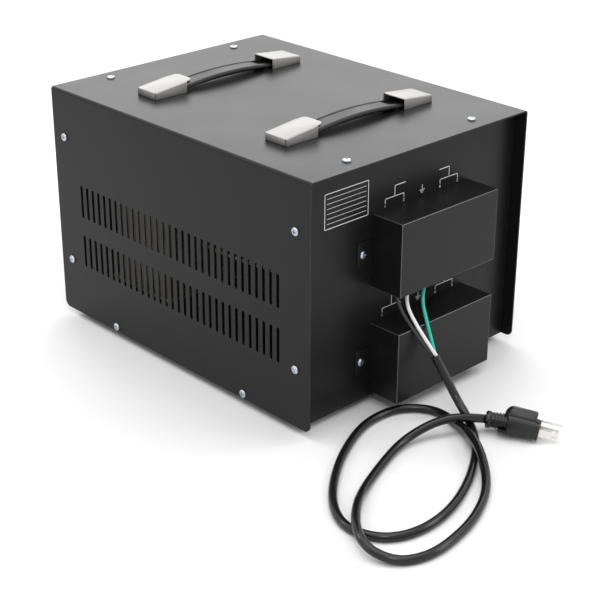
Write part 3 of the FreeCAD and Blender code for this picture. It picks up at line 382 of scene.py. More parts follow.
def extruded(mesh, outline, depth, matrix, bevel=0.0, segments=2):
    """A flat outline of (x, y) points made thick along z."""
    bottom = [mesh.verts.new((x, y, 0)) for x, y in outline]
    face = mesh.faces.new(bottom)
    grown = bmesh.ops.extrude_face_region(mesh, geom=[face])
    top = [item for item in grown["geom"] if isinstance(item, bmesh.types.BMVert)]
    bmesh.ops.translate(mesh, vec=(0, 0, depth), verts=top)
    corners = bottom + top
    if bevel:
        corners = round_edges(mesh, corners, bevel, segments)
    bmesh.ops.transform(mesh, matrix=matrix, verts=corners)


def rounded_outline(width, height, radius):
    """The outline of a rectangle centred on zero, with round corners."""
    points = []
    for number, (side, end) in enumerate(((1, 1), (-1, 1), (-1, -1), (1, -1))):
        centre = (side * (width / 2 - radius), end * (height / 2 - radius))
        for step in range(CORNER_STEPS + 1):
            turn = math.pi / 2 * (number + step / CORNER_STEPS)
            points.append((centre[0] + radius * math.cos(turn),
                           centre[1] + radius * math.sin(turn)))
    return points


def stamp(mesh, source, matrix):
    """Copy a finished mesh into another at a place."""
    before = len(mesh.verts)
    mesh.from_mesh(source)
    mesh.verts.ensure_lookup_table()
    bmesh.ops.transform(mesh, matrix=matrix, verts=mesh.verts[before:])


def carved(base, cutter):
    """The mesh data of one bmesh with another cut out of it. Both are used up."""
    whole = linked("carved", finished("carved", base))
    tool = linked("cutter", finished("cutter", cutter))
    boolean = whole.modifiers.new("cut", "BOOLEAN")
    boolean.operation = "DIFFERENCE"
    boolean.solver = "EXACT"
    boolean.object = tool
    result = evaluated(whole)
    bpy.data.objects.remove(whole)
    bpy.data.objects.remove(tool)
    return result


def solids(name):
    """The lowest and highest corners of each separate solid in a CAD node, in a fixed order.

    A dictionary keeps the corners in order. A set of them would not, and each run would then turn
    the screws differently."""
    mesh = bmesh.new()
    mesh.from_mesh(NODES[name].data)
    bmesh.ops.remove_doubles(mesh, verts=mesh.verts, dist=SOLID_WELD_DISTANCE)
    found = []
    waiting = dict.fromkeys(mesh.verts)
    while waiting:
        group = [waiting.popitem()[0]]
        for corner in group:
            for edge in corner.link_edges:
                other = edge.other_vert(corner)
                if other in waiting:
                    del waiting[other]
                    group.append(other)
        places = [corner.co for corner in group]
        found.append((Vector(map(min, *places)), Vector(map(max, *places))))
    mesh.free()
    return found


# ---------------------------------------------------------------- supply cord

JACKET_RADIUS = 4.2 * MM
LEAD_RADIUS = 1.75 * MM
# The jacket runs from its cut end below the leads to the plug, and each lead from the rear panel
# down into that cut end.
JACKET_ROUTE = [
    (20, 233, 59), (16, 243, 41), (13, 257, 19), (21, 284, 5), (53, 318, 4.2), (104, 350, 4.2),
    (152, 368, 4.2), (195, 369, 4.2), (222, 353, 4.2), (231, 321, 4.2), (211, 285, 4.2),
    (163, 245, 4.2), (110, 217, 4.2), (76, 209, 4.2), (43, 214, 4.2), (23, 239, 4.2),
    (28, 272, 4.6), (44, 298, 12.8), (61, 328, 13.8), (93, 365, 4.2), (140, 389, 4.2),
    (183, 398, 4.2), (211, 398, 4.2), (234, 387, 4.2), (245, 364, 9), (236, 340, 13.6),
    (211, 316, 13.6), (178, 292, 4.6), (134, 273, 4.2), (96, 261, 6), (67, 265, 13.4),
    (46, 274, 17.8), (29, 285, 17), (14, 294.5, 13.3),
]
LEAD_ROUTES = {
    "lead_black": [(39, 200, 142), (43.6, 201, 128), (44, 205, 111), (37, 220, 86),
                   (21.8, 232.2, 58.2)],
    "lead_white": [(13.5, 200, 142), (23, 201.5, 130), (36, 206, 113), (33, 221, 89),
                   (20, 234.8, 60)],
    "lead_green": [(-12, 200, 142), (-4, 201, 130), (12, 205, 111), (18, 220, 87),
                   (18.2, 231.9, 58.8)],
}
CORD_ROUNDNESS = 6
CORD_STEPS = 12
CORD_ORDER = 3
# The rim of the cut end: how far out from the jacket's surface, and how far on from the cut.
RIM_PROFILE = ((-0.1, 0.9), (0.15, 0.6), (0.15, -0.1), (-0.3, -0.35), (-1.1, -0.2), (-1.2, 0.9))
RELIEF_HEADING, RELIEF_SLOPE = 124, 3
RELIEF_LENGTH = 21
RELIEF_RIBS = 5
RELIEF_RIB_PITCH = 3
RELIEF_FIRST_RIB = 5.3
RELIEF_GROOVE = 7
PLUG_HEADING, PLUG_SLOPE, PLUG_ROLL = 120, 7, -10
PLUG_GAP = 0.2 * MM
PLUG_DOME = 8.6


def flex(name, route, radius, look):
    """A round cord along the route, given as the control points of one smooth spline."""
    data = bpy.data.curves.new(name, "CURVE")
    data.dimensions = "3D"
    data.bevel_depth = radius
    data.bevel_resolution = CORD_ROUNDNESS
    data.resolution_u = CORD_STEPS
    data.use_fill_caps = True
    spline = data.splines.new("NURBS")
    spline.points.add(len(route) - 1)
    for point, place in zip(spline.points, route):
        point.co = (*(Vector(place) * MM), 1)
    spline.order_u = CORD_ORDER
    spline.use_endpoint_u = True
    data.materials.append(look)
    cord = linked(name, data)
    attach(cord, "cabinet")
    return cord


def turned(place, heading, slope, roll=0):
    """A matrix whose X axis points along a heading and slopes down, all in degrees."""
    turn = (Matrix.Rotation(math.radians(heading), 4, "Z")
            @ Matrix.Rotation(math.radians(slope), 4, "Y")
            @ Matrix.Rotation(math.radians(roll), 4, "X"))
    return Matrix.Translation(place) @ turn


def strain_relief(start):
    """A collar that the jacket enters, and broad ribs parted by grooves behind it."""
    along_x = start @ Matrix.Rotation(math.radians(90), 4, "Y")
    profile = [(4.25, 3.2), (6.2, 3), (6.6, 0.4), (7.1, 0), (7.9, 0.5), (8.3, 1.5), (8.3, 4.4),
               (7.9, 5.1)]
    for rib in range(RELIEF_RIBS):
        base = RELIEF_FIRST_RIB + RELIEF_RIB_PITCH * rib
        crest = 7.6 + 0.18 * rib
        profile += [(RELIEF_GROOVE, base + 0.1), (RELIEF_GROOVE, base + 0.6),
                    (crest - 0.3, base + 0.8), (crest, base + 1.1), (crest, base + 2.5),
                    (crest - 0.4, base + 2.9)]
    profile += [(RELIEF_GROOVE, RELIEF_LENGTH - 0.6), (RELIEF_GROOVE, RELIEF_LENGTH),
                (0, RELIEF_LENGTH)]
    mesh = bmesh.new()
    lathe(mesh, [(radius * MM, height * MM) for radius, height in profile], along_x, 40)
    for side in SIDES:
        block(mesh, (5.5, side * 7.2 - 0.9, -0.7), (20.6, side * 7.2 + 0.9, 0.7), 0.25, start)
    return add_piece("plug_strain_relief_ribbed", mesh, JACKET, "cabinet",
                     ["plug_strain_relief"])


def plug_body(start):
    """The moulded plug: a flat-sided block, a domed ridge over the ground pin and a finger grip."""
    mesh = bmesh.new()
    block(mesh, (0, -12.5, -6), (30, 12.5, 8), 0.9, start, 3)
    ridge = (start @ Matrix.Translation((-4.5 * MM, 0, PLUG_DOME * MM))
             @ Matrix.Rotation(math.radians(90), 4, "Y"))
    dome = [(PLUG_DOME * math.sin(turn), 8 - 8 * math.cos(turn))
            for turn in [math.pi / 2 * step / 10 for step in range(1, 11)]]
    profile = [(0, 0)] + dome + [(PLUG_DOME, 27.6), (8.2, 29.4), (7, 30.4), (0, 30.5)]
    lathe(mesh, [(radius * MM, height * MM) for radius, height in profile], ridge, 48)
    for side in SIDES:
        root = [(6.6 * MM, 7.6 * MM), (10.6 * MM, 7.6 * MM), (8.4 * MM, 9.6 * MM)]
        fillet = start @ Matrix(((0, 0, 1, 0), (side, 0, 0, 0), (0, 1, 0, 0), (0, 0, 0, 1)))
        extruded(mesh, root, 25.5 * MM, fillet)
    block(mesh, (28.4, -12.8, -6.3), (30, 12.8, 8.3), 0.4, start)
    block(mesh, (-8, -11.5, -7.6), (9, 11.5, -5.6), 0.6, start)
    for number in range(4):
        base = -6 + 3.6 * number
        block(mesh, (base, -12.6, -8.1), (base + 1.6, 12.6, -6.6), 0.4, start)
    for number in range(3):
        base = 11 + 3.4 * number
        block(mesh, (base, -11, -6.9), (base + 1.5, 11, -5.6), 0.3, start)
    return add_piece("plug_moulded", mesh, MOULDING, "cabinet", ["plug_body"])


def supply_cord():
    """The jacket with its plug and cut end, and the three leads."""
    jacket = flex("cord_jacket_flex", JACKET_ROUTE, JACKET_RADIUS, JACKET)
    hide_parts("cord_jacket")
    end = turned(Vector(JACKET_ROUTE[-1]) * MM, RELIEF_HEADING, RELIEF_SLOPE)
    relief = strain_relief(end)
    nose = end @ Vector((RELIEF_LENGTH * MM + PLUG_GAP, 0, 0))
    plug = plug_body(turned(nose, PLUG_HEADING, PLUG_SLOPE, PLUG_ROLL))
    first, second = (Vector(place) for place in JACKET_ROUTE[:2])
    mouth = bmesh.new()
    lathe(mouth, [(JACKET_RADIUS + out * MM, along * MM) for out, along in RIM_PROFILE],
          facing(first * MM, second - first))
    rim = add_piece("jacket_cut_rim", mouth, JACKET, "cabinet")
    for name, route in LEAD_ROUTES.items():
        lead = flex(name + "_flex", route, LEAD_RADIUS, LEADS[name])
        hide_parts(name)


supply_cord()

# ---------------------------------------------------------------- screws

SMALL_HEAD = 2.6 * MM
LARGE_HEAD = 3 * MM
# The cross recess, in shares of the head's radius, and its levels from above the crown down to
# its point, in shares of the head's height, with how wide it is there.
RECESS_ARM = 0.56
RECESS_HALF_WIDTH = 0.12
RECESS_LEVELS = ((1.4, 1.15), (0.8, 0.95), (0.25, 0.4))
FIRST_SPIN, NEXT_SPIN = 11, 37


def pan_head(radius, height, shank, length):
    """The mesh data of a pan-head screw with a cross recess, its head's underside at zero."""
    head = bmesh.new()
    crown = [(radius * math.cos(turn), height * (0.45 + 0.55 * math.sin(turn)))
             for turn in [math.pi / 2 * step / 6 for step in range(7)]]
    lathe(head, [(0, -length), (shank * 0.7, -length), (shank, 0.3 * MM - length), (shank, 0),
                 (radius * 0.97, 0), (radius, height * 0.08)] + crown[:-1] + [(0, height)],
          Matrix.Identity(4), 40)
    recess = bmesh.new()
    arm, half = radius * RECESS_ARM, radius * RECESS_HALF_WIDTH
    quarter = ((arm, -half), (arm, half), (half, half))
    cross = [(x * math.cos(turn) - y * math.sin(turn), x * math.sin(turn) + y * math.cos(turn))
             for turn in [math.pi / 2 * number for number in range(4)] for x, y in quarter]
    rings = [[recess.verts.new((x * narrow, y * narrow, level * height)) for x, y in cross]
             for level, narrow in RECESS_LEVELS]
    bridge(recess, rings)
    recess.faces.new(rings[0])
    recess.faces.new(rings[-1])
    return carved(head, recess)


def screws(name, axis, height, screw):
    """Replace a CAD node of plain screws with ones that have a cross recess.

    Without an axis, each screw points along X, away from the cabinet's middle."""
    mesh = bmesh.new()
    for number, (low, high) in enumerate(solids(name)):
        middle = (low + high) / 2
        out = Vector(axis) if axis else Vector((math.copysign(1, middle.x), 0, 0))
        reach = (high - low) / 2
        tip = middle + Vector(out[i] * reach[i] for i in range(3))
        spin = Matrix.Rotation(math.radians(NEXT_SPIN * number + FIRST_SPIN), 4, "Z")
        stamp(mesh, screw, facing(tip - out * height, out) @ spin)
    add_piece(name + "_recessed", mesh, ZINC, "cabinet", [name], 30)


small_screw = pan_head(4.2 * MM, SMALL_HEAD, 2 * MM, 8 * MM)
for name, axis in (("cover_side_screws", None), ("cover_top_screws", Z), ("panel_screws", -Z),
                   ("foot_screws", -Z), ("terminal_cover_screws", Y)):
    screws(name, axis, SMALL_HEAD, small_screw)
screws("terminal_screws", Y, LARGE_HEAD, pan_head(4.5 * MM, LARGE_HEAD, 2.5 * MM, 9 * MM))

# ---------------------------------------------------------------- sheet metal

SHEET = 1.2 * MM
TAB_REACH = 13.5 * MM
TAB_END = 6.5 * MM
TAB_TALL = 26 * MM
TAB_CORNER = 3 * MM
TAB_BEVEL = 0.35 * MM
STOCK = 6 * MM  # how far the box runs on behind and below, before it is cut there
PAST = 9 * MM  # how far a cutter runs on past what it cuts
FOLD_ROUND = 0.5 * MM
SHEET_ROUND = 0.45 * MM
FITTING_ROUND = 0.3 * MM


def terminal_cover(name):
    """A folded sheet box, open below and towards the panel, with a screw tab on each side."""
    low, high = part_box(name)
    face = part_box("rear_panel")[1].y
    screws_at = [(a + b) / 2 for a, b in solids("terminal_cover_screws")
                 if low.z < (a.z + b.z) / 2 < high.z]
    left = min(place.x for place in screws_at) + TAB_REACH
    right = max(place.x for place in screws_at) - TAB_REACH
    folded = bmesh.new()
    slab(folded, (left, face - STOCK, low.z - STOCK), (right, high.y, high.z))
    start = (left - PAST, face - PAST, low.z - PAST)
    hollow = ((left + SHEET, face - PAST, low.z - PAST),
              (right - SHEET, high.y - SHEET, high.z - SHEET))
    behind = (start, (right + PAST, face, high.z + PAST))
    below = (start, (right + PAST, high.y + PAST, low.z))
    for corners in (hollow, behind, below):
        cutter = bmesh.new()
        slab(cutter, *corners)
        rest = bmesh.new()
        rest.from_mesh(carved(folded, cutter))
        folded = rest
    tabs = bmesh.new()
    for place in screws_at:
        inner = left if place.x < left else right
        tab = rounded_outline(abs(place.x - inner) + TAB_END, TAB_TALL, TAB_CORNER)
        middle = (place.x + inner + math.copysign(TAB_END, place.x - inner)) / 2
        seat = (Matrix.Translation((middle, face, place.z))
                @ Matrix.Rotation(-math.pi / 2, 4, "X"))
        extruded(tabs, tab, SHEET, seat, TAB_BEVEL)
    piece = add_piece(name + "_folded", folded, COAT, "cabinet", [name])
    # The rounded folds carry the painted highlight.
    soften(piece, FOLD_ROUND, PAINTED_EDGE_HIGHLIGHT)
    add_piece(name + "_tabs", tabs, COAT, "cabinet", [name])


for name in ("input_terminal_cover", "output_terminal_cover"):
    terminal_cover(name)
# The cover and panels carry the painted highlight on their rounded bends.
for name in ("cover", "rear_panel", "front_panel"):
    soften(NODES[name], SHEET_ROUND, PAINTED_EDGE_HIGHLIGHT)
for name in ("voltmeter_case", "left_outlet", "right_outlet", "pilot_lamp_holder",
             "breaker_toggle"):
    soften(NODES[name], FITTING_ROUND)

# ---------------------------------------------------------------- handles

CAP_LOW = 7.3 * MM
CAP_WALL = 1.2 * MM
CAP_SEAM = 0.5 * MM
CAP_TONGUE = 9 * MM
CAP_TONGUE_ROUND = 6 * MM
CAP_INNER_ROUND = 2 * MM
CAP_ROOF_GAP = 0.3 * MM
CAP_ROOF_SINK = 0.05 * MM
CAP_ROOF_BEVEL = 0.35 * MM
CAP_WALL_BEVEL = 0.4 * MM
CAP_FLAP_BEVEL = 0.3 * MM
CAP_FLAP_GAP_BELOW = 0.3 * MM
CAP_FLAP_GAP_ABOVE = 0.5 * MM
STRAP_HALF_WIDTH = 12 * MM
STRAP_REACH = 64 * MM
STRAP_BOW = 2.3 * MM
STRAP_END = 3.6 * MM
STRAP_STATIONS = 72
BAND_DEPTH, BAND_DEPTH_IN_CAP = 0.7 * MM, 2.2 * MM
BAND_DEEPER_FROM = 0.75
CREASE, CREASE_BY_CAP = 0.05, 0.015
CREASE_FADES_FROM = 0.45


def cap_roof(length, half, tongue):
    """The roof's outline: square at the outer end, round at the inner one, with a short tongue."""
    inner, outer = length / 2, -length / 2
    tip = inner + tongue
    points = [(outer, -half)]
    reach = CAP_TONGUE_ROUND if tongue else CAP_INNER_ROUND
    for sign in SIDES:
        for step in range(9):
            turn = math.pi / 2 * (step / 8 if sign > 0 else 1 - step / 8)
            across = half - reach + reach * math.sin(turn)
            points.append((tip - reach + reach * math.cos(turn), sign * across))
    return points + [(outer, half)]


def handle_caps(name):
    """Folded caps: a sloping roof with round inner corners over two walls and an end flap."""
    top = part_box("cover")[1].z
    mesh = bmesh.new()
    for low, high in solids(name):
        side = math.copysign(1, low.x + high.x)
        inner = min(abs(low.x), abs(high.x))
        outer = max(abs(low.x), abs(high.x))
        middle = (low.y + high.y) / 2
        half = (high.y - low.y) / 2
        tall = high.z - top
        slope = math.atan2(tall - CAP_LOW, outer - inner)
        length = (outer - inner) / math.cos(slope)
        place = Matrix.Translation((side * (inner + outer) / 2, middle, top + (tall + CAP_LOW) / 2))
        heading = Matrix.Rotation(math.pi if side > 0 else 0, 4, "Z")
        tilt = Matrix.Rotation(-slope, 4, "Y")
        tongue = CAP_TONGUE if side > 0 else 0
        roof = place @ heading @ tilt @ Matrix.Translation((0, 0, -CAP_WALL))
        outline = cap_roof(length, half - CAP_WALL - CAP_ROOF_GAP, tongue)
        extruded(mesh, outline, CAP_WALL, roof, CAP_ROOF_BEVEL, 3)
        roof_in, roof_out = tall - CAP_ROOF_SINK, CAP_LOW - CAP_ROOF_SINK
        wall = [(side * inner, 0), (side * (outer - CAP_SEAM), 0),
                (side * (outer - CAP_SEAM), roof_out), (side * inner, roof_in)]
        for end in SIDES:
            start = middle + end * (half - CAP_WALL / 2) + CAP_WALL / 2
            upright = Matrix.Translation((0, start, top)) @ Matrix.Rotation(math.pi / 2, 4, "X")
            extruded(mesh, wall, CAP_WALL, upright, CAP_WALL_BEVEL, 3)
        near, far = sorted((side * (outer - CAP_WALL), side * outer))
        slab(mesh, (near, middle - half + CAP_WALL + CAP_SEAM, top + CAP_FLAP_GAP_BELOW),
             (far, middle + half - CAP_WALL - CAP_SEAM, top + CAP_LOW - CAP_FLAP_GAP_ABOVE),
             CAP_FLAP_BEVEL)
    add_piece(name + "_folded", mesh, NICKEL, "cabinet", [name], 40)


def strap_section(share, low, high):
    """Points across a strap: a recessed band between two raised lips, and creased sides.

    The share is how far along the half strap the section lies, from the grip to the cap."""
    half = STRAP_HALF_WIDTH
    thick = high - low
    band = BAND_DEPTH if share < BAND_DEEPER_FROM else BAND_DEPTH_IN_CAP
    crease = CREASE if share < CREASE_FADES_FROM else CREASE_BY_CAP
    upper = [(0, high - band), (0.6 * half, high - band), (0.63 * half, high - 0.1 * MM),
             (0.68 * half, high), (0.84 * half, high - 0.1 * MM),
             (0.93 * half, high - 0.14 * thick), (0.985 * half, high - 0.3 * thick),
             (half, high - 0.4 * thick),
             ((1 - crease) * half, high - 0.47 * thick),
             ((1 - crease) * half, high - 0.52 * thick), (half, high - 0.6 * thick),
             (0.98 * half, low + 0.25 * thick), (0.92 * half, low + 0.08 * thick),
             (0.82 * half, low)]
    mirrored = [(-across, level) for across, level in reversed(upper[1:])]
    return upper + mirrored


def strap(end_name, side_name, side):
    """Half of a strap, from the middle of the grip to inside its cap."""
    low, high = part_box(f"{end_name}_strap_grip")
    middle = (low.y + high.y) / 2
    mesh = bmesh.new()
    rings = []
    for station in range(STRAP_STATIONS + 1):
        share = station / STRAP_STATIONS
        rise = 1 - (share * STRAP_REACH / high.x) ** 2
        bottom = low.z + STRAP_BOW * max(0, rise)
        top = low.z + STRAP_END + (high.z - low.z - STRAP_END) * rise
        x = side * share * STRAP_REACH
        rings.append([mesh.verts.new((x, middle + across, level))
                      for across, level in strap_section(share, bottom, top)])
    bridge(mesh, rings)
    mesh.faces.new(rings[0])
    mesh.faces.new(rings[-1])
    name = f"{end_name}_strap_{side_name}"
    data = finished(name, mesh)
    smooth(data, RUBBER, 28)
    half = linked(name, data)
    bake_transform(half)
    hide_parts(f"{end_name}_strap_grip")


for end_name in ("front", "rear"):
    handle_caps(f"{end_name}_handle_caps")
    for side_name, side in (("left", -1), ("right", 1)):
        strap(end_name, side_name, side)

# ---------------------------------------------------------------- printing

LINE = 0.75 * MM
THIN_LINE = 0.6 * MM
EARTH_STEM_LINE = 0.7 * MM
CARD_LINE = 0.35 * MM
PRINT_HEIGHT = 0.06 * MM
# Heights above the top of a terminal cover.
NUMBER_LEVEL = 2.8 * MM
BRACKET_LOW, BRACKET_HIGH = 6 * MM, 10 * MM
BRANCH_HIGH = 20.5 * MM
EARTH_LOW, EARTH_HIGH = 6.5 * MM, 11 * MM
BRANCH_REACH = 14 * MM
EARTH_STEP = 1.5 * MM
EARTH_HALF_WIDTHS = (3.2 * MM, 2 * MM, 0.8 * MM)
EARTH_POLE = 3
NUMBER_TALL = 4.4 * MM
CARD_LEFT, CARD_RIGHT, CARD_LOW, CARD_HIGH = 62 * MM, 118 * MM, 201 * MM, 235 * MM
CARD_ROWS = 7
CARD_MARGIN = 3 * MM
REAR_TURN = Matrix.Rotation(math.pi, 4, "Z") @ Matrix.Rotation(math.pi / 2, 4, "X")


def numeral(mesh, text, tall, matrix):
    """A plain numeral lying in the XY plane of a matrix, centred on it."""
    data = bpy.data.curves.new("numeral", "FONT")
    data.body = text
    data.size = tall
    data.align_x = "CENTER"
    data.align_y = "CENTER"
    data.extrude = PRINT_HEIGHT / 2
    item = linked("numeral", data)
    stamp(mesh, evaluated(item), matrix @ Matrix.Translation((0, 0, PRINT_HEIGHT / 2)))
    bpy.data.objects.remove(item)


def rear_rule(mesh, start, end, face, width=LINE):
    """A printed line on the rear panel between two (x, z) points, level or upright."""
    left, right = sorted((start[0], end[0]))
    below, above = sorted((start[1], end[1]))
    slab(mesh, (left - width / 2, face, below - width / 2),
         (right + width / 2, face + PRINT_HEIGHT, above + width / 2))


def rear_print():
    """Brackets that join the poles under each set, an earth mark, pole numbers and a blank card."""
    mesh = bmesh.new()
    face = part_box("rear_panel")[1].y
    # Both strips have their plates at the same five places across the panel.
    plates = sorted((low.x + high.x) / 2 for low, high in solids("terminal_plates"))[::2]
    earth = plates[EARTH_POLE - 1]
    for cover in ("input_terminal_cover", "output_terminal_cover"):
        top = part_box(cover)[1].z
        foot, bar, branch = top + BRACKET_LOW, top + BRACKET_HIGH, top + BRANCH_HIGH
        for left, right in (plates[:2], plates[3:]):
            rear_rule(mesh, (left, bar), (right, bar), face)
            for x in (left, right):
                rear_rule(mesh, (x, foot), (x, bar), face)
            x = (left + right) / 2
            rear_rule(mesh, (x, bar), (x, branch), face)
            inward = math.copysign(BRANCH_REACH, earth - x)
            rear_rule(mesh, (x, branch), (x + inward, branch), face)
        rear_rule(mesh, (earth, top + EARTH_LOW), (earth, top + EARTH_HIGH), face, EARTH_STEM_LINE)
        for step, half in enumerate(EARTH_HALF_WIDTHS):
            level = top + EARTH_LOW - EARTH_STEP * step
            rear_rule(mesh, (earth - half, level), (earth + half, level), face, THIN_LINE)
        for number, x in enumerate(reversed(plates), start=1):
            if number != EARTH_POLE:
                numeral(mesh, str(number), NUMBER_TALL,
                        Matrix.Translation((x, face, top + NUMBER_LEVEL)) @ REAR_TURN)
    for level in (CARD_LOW, CARD_HIGH):
        rear_rule(mesh, (CARD_LEFT, level), (CARD_RIGHT, level), face, THIN_LINE)
    for x in (CARD_LEFT, CARD_RIGHT):
        rear_rule(mesh, (x, CARD_LOW), (x, CARD_HIGH), face, THIN_LINE)
    for line in range(1, CARD_ROWS):
        level = CARD_LOW + line * (CARD_HIGH - CARD_LOW) / CARD_ROWS
        rear_rule(mesh, (CARD_LEFT + CARD_MARGIN, level), (CARD_RIGHT - CARD_MARGIN, level), face,
                  CARD_LINE)
    add_piece("rear_panel_print", mesh, PRINT, "cabinet")


rear_print()

# ---------------------------------------------------------------- windings

WIRE_THICK = 1.6 * MM
WIRE_STEPS = 4
WINDING_CORNER = 14 * MM
WINDING_BUILD = 18 * MM
BORE_CORNER = 2 * MM


def winding(name):
    """Rows of round wire wound on a former, with a smooth bore."""
    low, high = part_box(name)
    middle = (low + high) / 2
    wide, deep, tall = (high[i] - low[i] for i in range(3))
    rows = int(tall / WIRE_THICK)
    pitch = tall / rows
    mesh = bmesh.new()
    rings = []
    for number in range(rows * WIRE_STEPS):
        row, step = divmod(number, WIRE_STEPS)
        part = (step + 0.5) / WIRE_STEPS
        level = low.z + (row + part) * pitch
        inset = 0.5 * pitch * (math.sin(math.pi * part) - 1)
        outline = rounded_outline(wide + 2 * inset, deep + 2 * inset, WINDING_CORNER)
        rings.append([mesh.verts.new((middle.x + x, middle.y + y, level)) for x, y in outline])
    bore = rounded_outline(wide - 2 * WINDING_BUILD, deep - 2 * WINDING_BUILD, BORE_CORNER)
    for level in (high.z, low.z):
        rings.append([mesh.verts.new((middle.x + x, middle.y + y, level)) for x, y in bore])
    bridge(mesh, rings + rings[:1])
    add_piece(name + "_wound", mesh, WIRE, "cabinet", [name], 50)


winding("left_winding")
winding("right_winding")

# ---------------------------------------------------------------- front panel

UPRIGHT = Matrix.Rotation(math.pi / 2, 4, "X")
SCALE_START = 45  # degrees from straight up, where the scale reads zero
TICK_TURN = 3
TICKS = 31
TICKS_TO_A_NUMBER = 5
VOLTS_TO_A_TICK = 10
SCALE_RADIUS = 33 * MM
LONG_TICK, LONG_TICK_WIDTH = 27 * MM, 0.7 * MM
SHORT_TICK, SHORT_TICK_WIDTH = 30.5 * MM, 0.35 * MM
ARC_WIDTH, ARC_HEIGHT = 0.4 * MM, 0.04 * MM
VOLTS_RADIUS, VOLTS_TALL = 24 * MM, 4.2 * MM
UNIT_RADIUS, UNIT_TALL = 12 * MM, 7 * MM
MARK_GAP, MARK_TALL = 9 * MM, 7 * MM


def dial_print():
    """The meter's scale: an arc, ticks and plain numbers around the needle's pivot."""
    pivot = next(joint for joint in frame["joints"] if joint["name"] == "needle_swing")
    across, _, up = pivot["pos_m"]
    face = Matrix.Translation((across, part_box("voltmeter_dial")[0].y, up)) @ UPRIGHT
    spins = [face @ Matrix.Rotation(math.radians(SCALE_START - TICK_TURN * tick), 4, "Z")
             for tick in range(TICKS)]
    mesh = bmesh.new()
    for tick, spin in enumerate(spins):
        numbered = tick % TICKS_TO_A_NUMBER == 0
        start, width = ((LONG_TICK, LONG_TICK_WIDTH) if numbered
                        else (SHORT_TICK, SHORT_TICK_WIDTH))
        slab(mesh, (-width / 2, start, 0), (width / 2, SCALE_RADIUS, PRINT_HEIGHT), matrix=spin)
        if numbered:
            numeral(mesh, str(tick * VOLTS_TO_A_TICK), VOLTS_TALL,
                    spin @ Matrix.Translation((0, VOLTS_RADIUS, 0)))
    inner, outer = ([mesh.verts.new(spin @ Vector((0, radius, ARC_HEIGHT))) for spin in spins]
                    for radius in (SCALE_RADIUS - ARC_WIDTH, SCALE_RADIUS))
    for tick in range(TICKS - 1):
        mesh.faces.new((inner[tick], inner[tick + 1], outer[tick + 1], outer[tick]))
    numeral(mesh, "V", UNIT_TALL, face @ Matrix.Translation((0, UNIT_RADIUS, 0)))
    add_piece("voltmeter_scale", mesh, INK, "cabinet")


def breaker_marks():
    """A stroke over the breaker and a ring under it, for on and off."""
    low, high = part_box("breaker_body")
    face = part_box("front_panel")[0].y
    middle = (low.x + high.x) / 2
    mesh = bmesh.new()
    for text, level in (("I", high.z + MARK_GAP), ("O", low.z - MARK_GAP)):
        numeral(mesh, text, MARK_TALL, Matrix.Translation((middle, face, level)) @ UPRIGHT)
    add_piece("breaker_marks", mesh, PRINT, "cabinet")


dial_print()
breaker_marks()

# ---------------------------------------------------------------- floor and light

FLOOR_REACH = 8
FADE_NEAR, FADE_FAR = 0.7, 1.5
WORLD_LIGHT = 0.5  # what the world gives to the object's light
WORLD_SEEN = 1.0  # how bright it looks to the camera, in reflections and through glass
# Each lamp's place, what it points at, its width and height, and its power in watts.
LAMPS = {
    "overhead": ((0.2, 0.1, 2.2), (0, 0, 0.1), (2.4, 2.4), 33),
    "behind": ((-1.6, -1.9, 1.6), (0, 0, 0.2), (2.6, 1.6), 31),
    "key": ((1.2, 1.4, 1.7), (0.1, 0.2, 0.1), (0.35, 0.35), 6),
    "right": ((-1.3, 1.9, 0.9), (0, 0.1, 0.15), (0.5, 1.4), 6),
    "left": ((2.2, -0.9, 1.0), (0, 0, 0.12), (0.9, 1.2), 4),
    "front_edge": ((1.1, -1.7, 1.7), (0.1, 0, 0.25), (0.5, 0.5), 7),
    "rear_edge": ((-1.6, 1.1, 1.8), (0, 0.2, 0.2), (0.5, 0.5), 7),
}


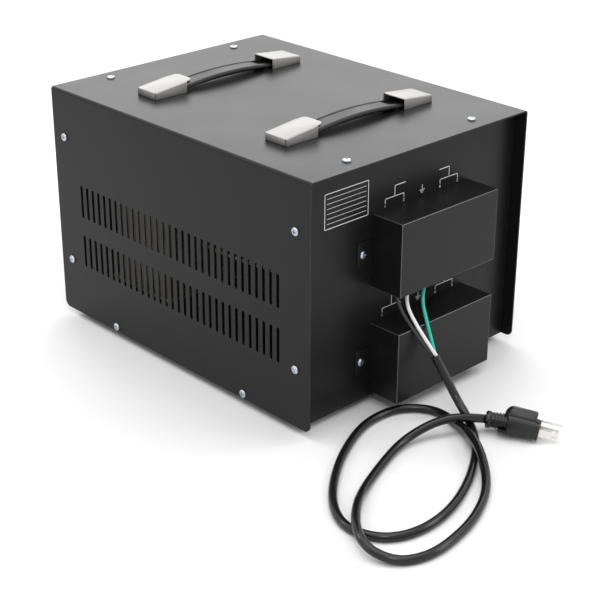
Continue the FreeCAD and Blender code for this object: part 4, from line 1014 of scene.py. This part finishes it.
def fade_out(made, near, far):
    """Let a floor fade into the white around it between two distances from the object."""
    tree = made.node_tree
    output = next(item for item in tree.nodes if item.type == "OUTPUT_MATERIAL")
    solid = output.inputs["Surface"].links[0].from_socket
    place = node(tree, "ShaderNodeTexCoord")
    distance = node(tree, "ShaderNodeVectorMath", operation="LENGTH")
    share = node(tree, "ShaderNodeMapRange", interpolation_type="SMOOTHSTEP")
    share.inputs["From Min"].default_value = near
    share.inputs["From Max"].default_value = far
    gone = node(tree, "ShaderNodeBsdfTransparent")
    mix = node(tree, "ShaderNodeMixShader")
    tree.links.new(place.outputs["Object"], distance.inputs[0])
    tree.links.new(distance.outputs["Value"], share.inputs["Value"])
    tree.links.new(share.outputs["Result"], mix.inputs["Fac"])
    tree.links.new(solid, mix.inputs[1])
    tree.links.new(gone.outputs["BSDF"], mix.inputs[2])
    tree.links.new(mix.outputs["Shader"], output.inputs["Surface"])


def add_floor():
    """A white floor that fades out of sight around the object."""
    mesh = bpy.data.meshes.new("floor")
    reach = FLOOR_REACH
    mesh.from_pydata([(-reach, -reach, 0), (reach, -reach, 0), (reach, reach, 0),
                      (-reach, reach, 0)], [], [(0, 1, 2, 3)])
    mesh.materials.append(FLOOR)
    fade_out(FLOOR, FADE_NEAR, FADE_FAR)
    linked("floor", mesh)


def add_light(name, place, target, extent, power):
    """A rectangular lamp at a place, pointing at a target."""
    data = bpy.data.lights.new(name, "AREA")
    data.shape = "RECTANGLE"
    data.size, data.size_y = extent
    data.energy = power
    light = linked(name, data)
    light.location = place
    light.rotation_mode = "QUATERNION"
    light.rotation_quaternion = (Vector(target) - Vector(place)).to_track_quat("-Z", "Y")


def add_world():
    """An even white world, dimmer as a light than it looks."""
    world = bpy.data.worlds.new("studio")
    SCENE.world = world
    world.use_nodes = True
    tree = world.node_tree
    background = tree.nodes["Background"]
    ray = node(tree, "ShaderNodeLightPath")
    clear = node(tree, "ShaderNodeMath", operation="MAXIMUM")
    seen = node(tree, "ShaderNodeMath", operation="MAXIMUM")
    strength = node(tree, "ShaderNodeMapRange")
    strength.inputs["To Min"].default_value = WORLD_LIGHT
    strength.inputs["To Max"].default_value = WORLD_SEEN
    tree.links.new(ray.outputs["Is Glossy Ray"], clear.inputs[0])
    tree.links.new(ray.outputs["Is Transmission Ray"], clear.inputs[1])
    tree.links.new(ray.outputs["Is Camera Ray"], seen.inputs[0])
    tree.links.new(clear.outputs["Value"], seen.inputs[1])
    tree.links.new(seen.outputs["Value"], strength.inputs["Value"])
    tree.links.new(strength.outputs["Result"], background.inputs["Strength"])
    background.inputs["Color"].default_value = (1, 1, 1, 1)


add_floor()
add_world()
for name, (place, target, extent, power) in LAMPS.items():
    add_light(name, place, target, extent, power)
SCENE.view_settings.view_transform = "Standard"
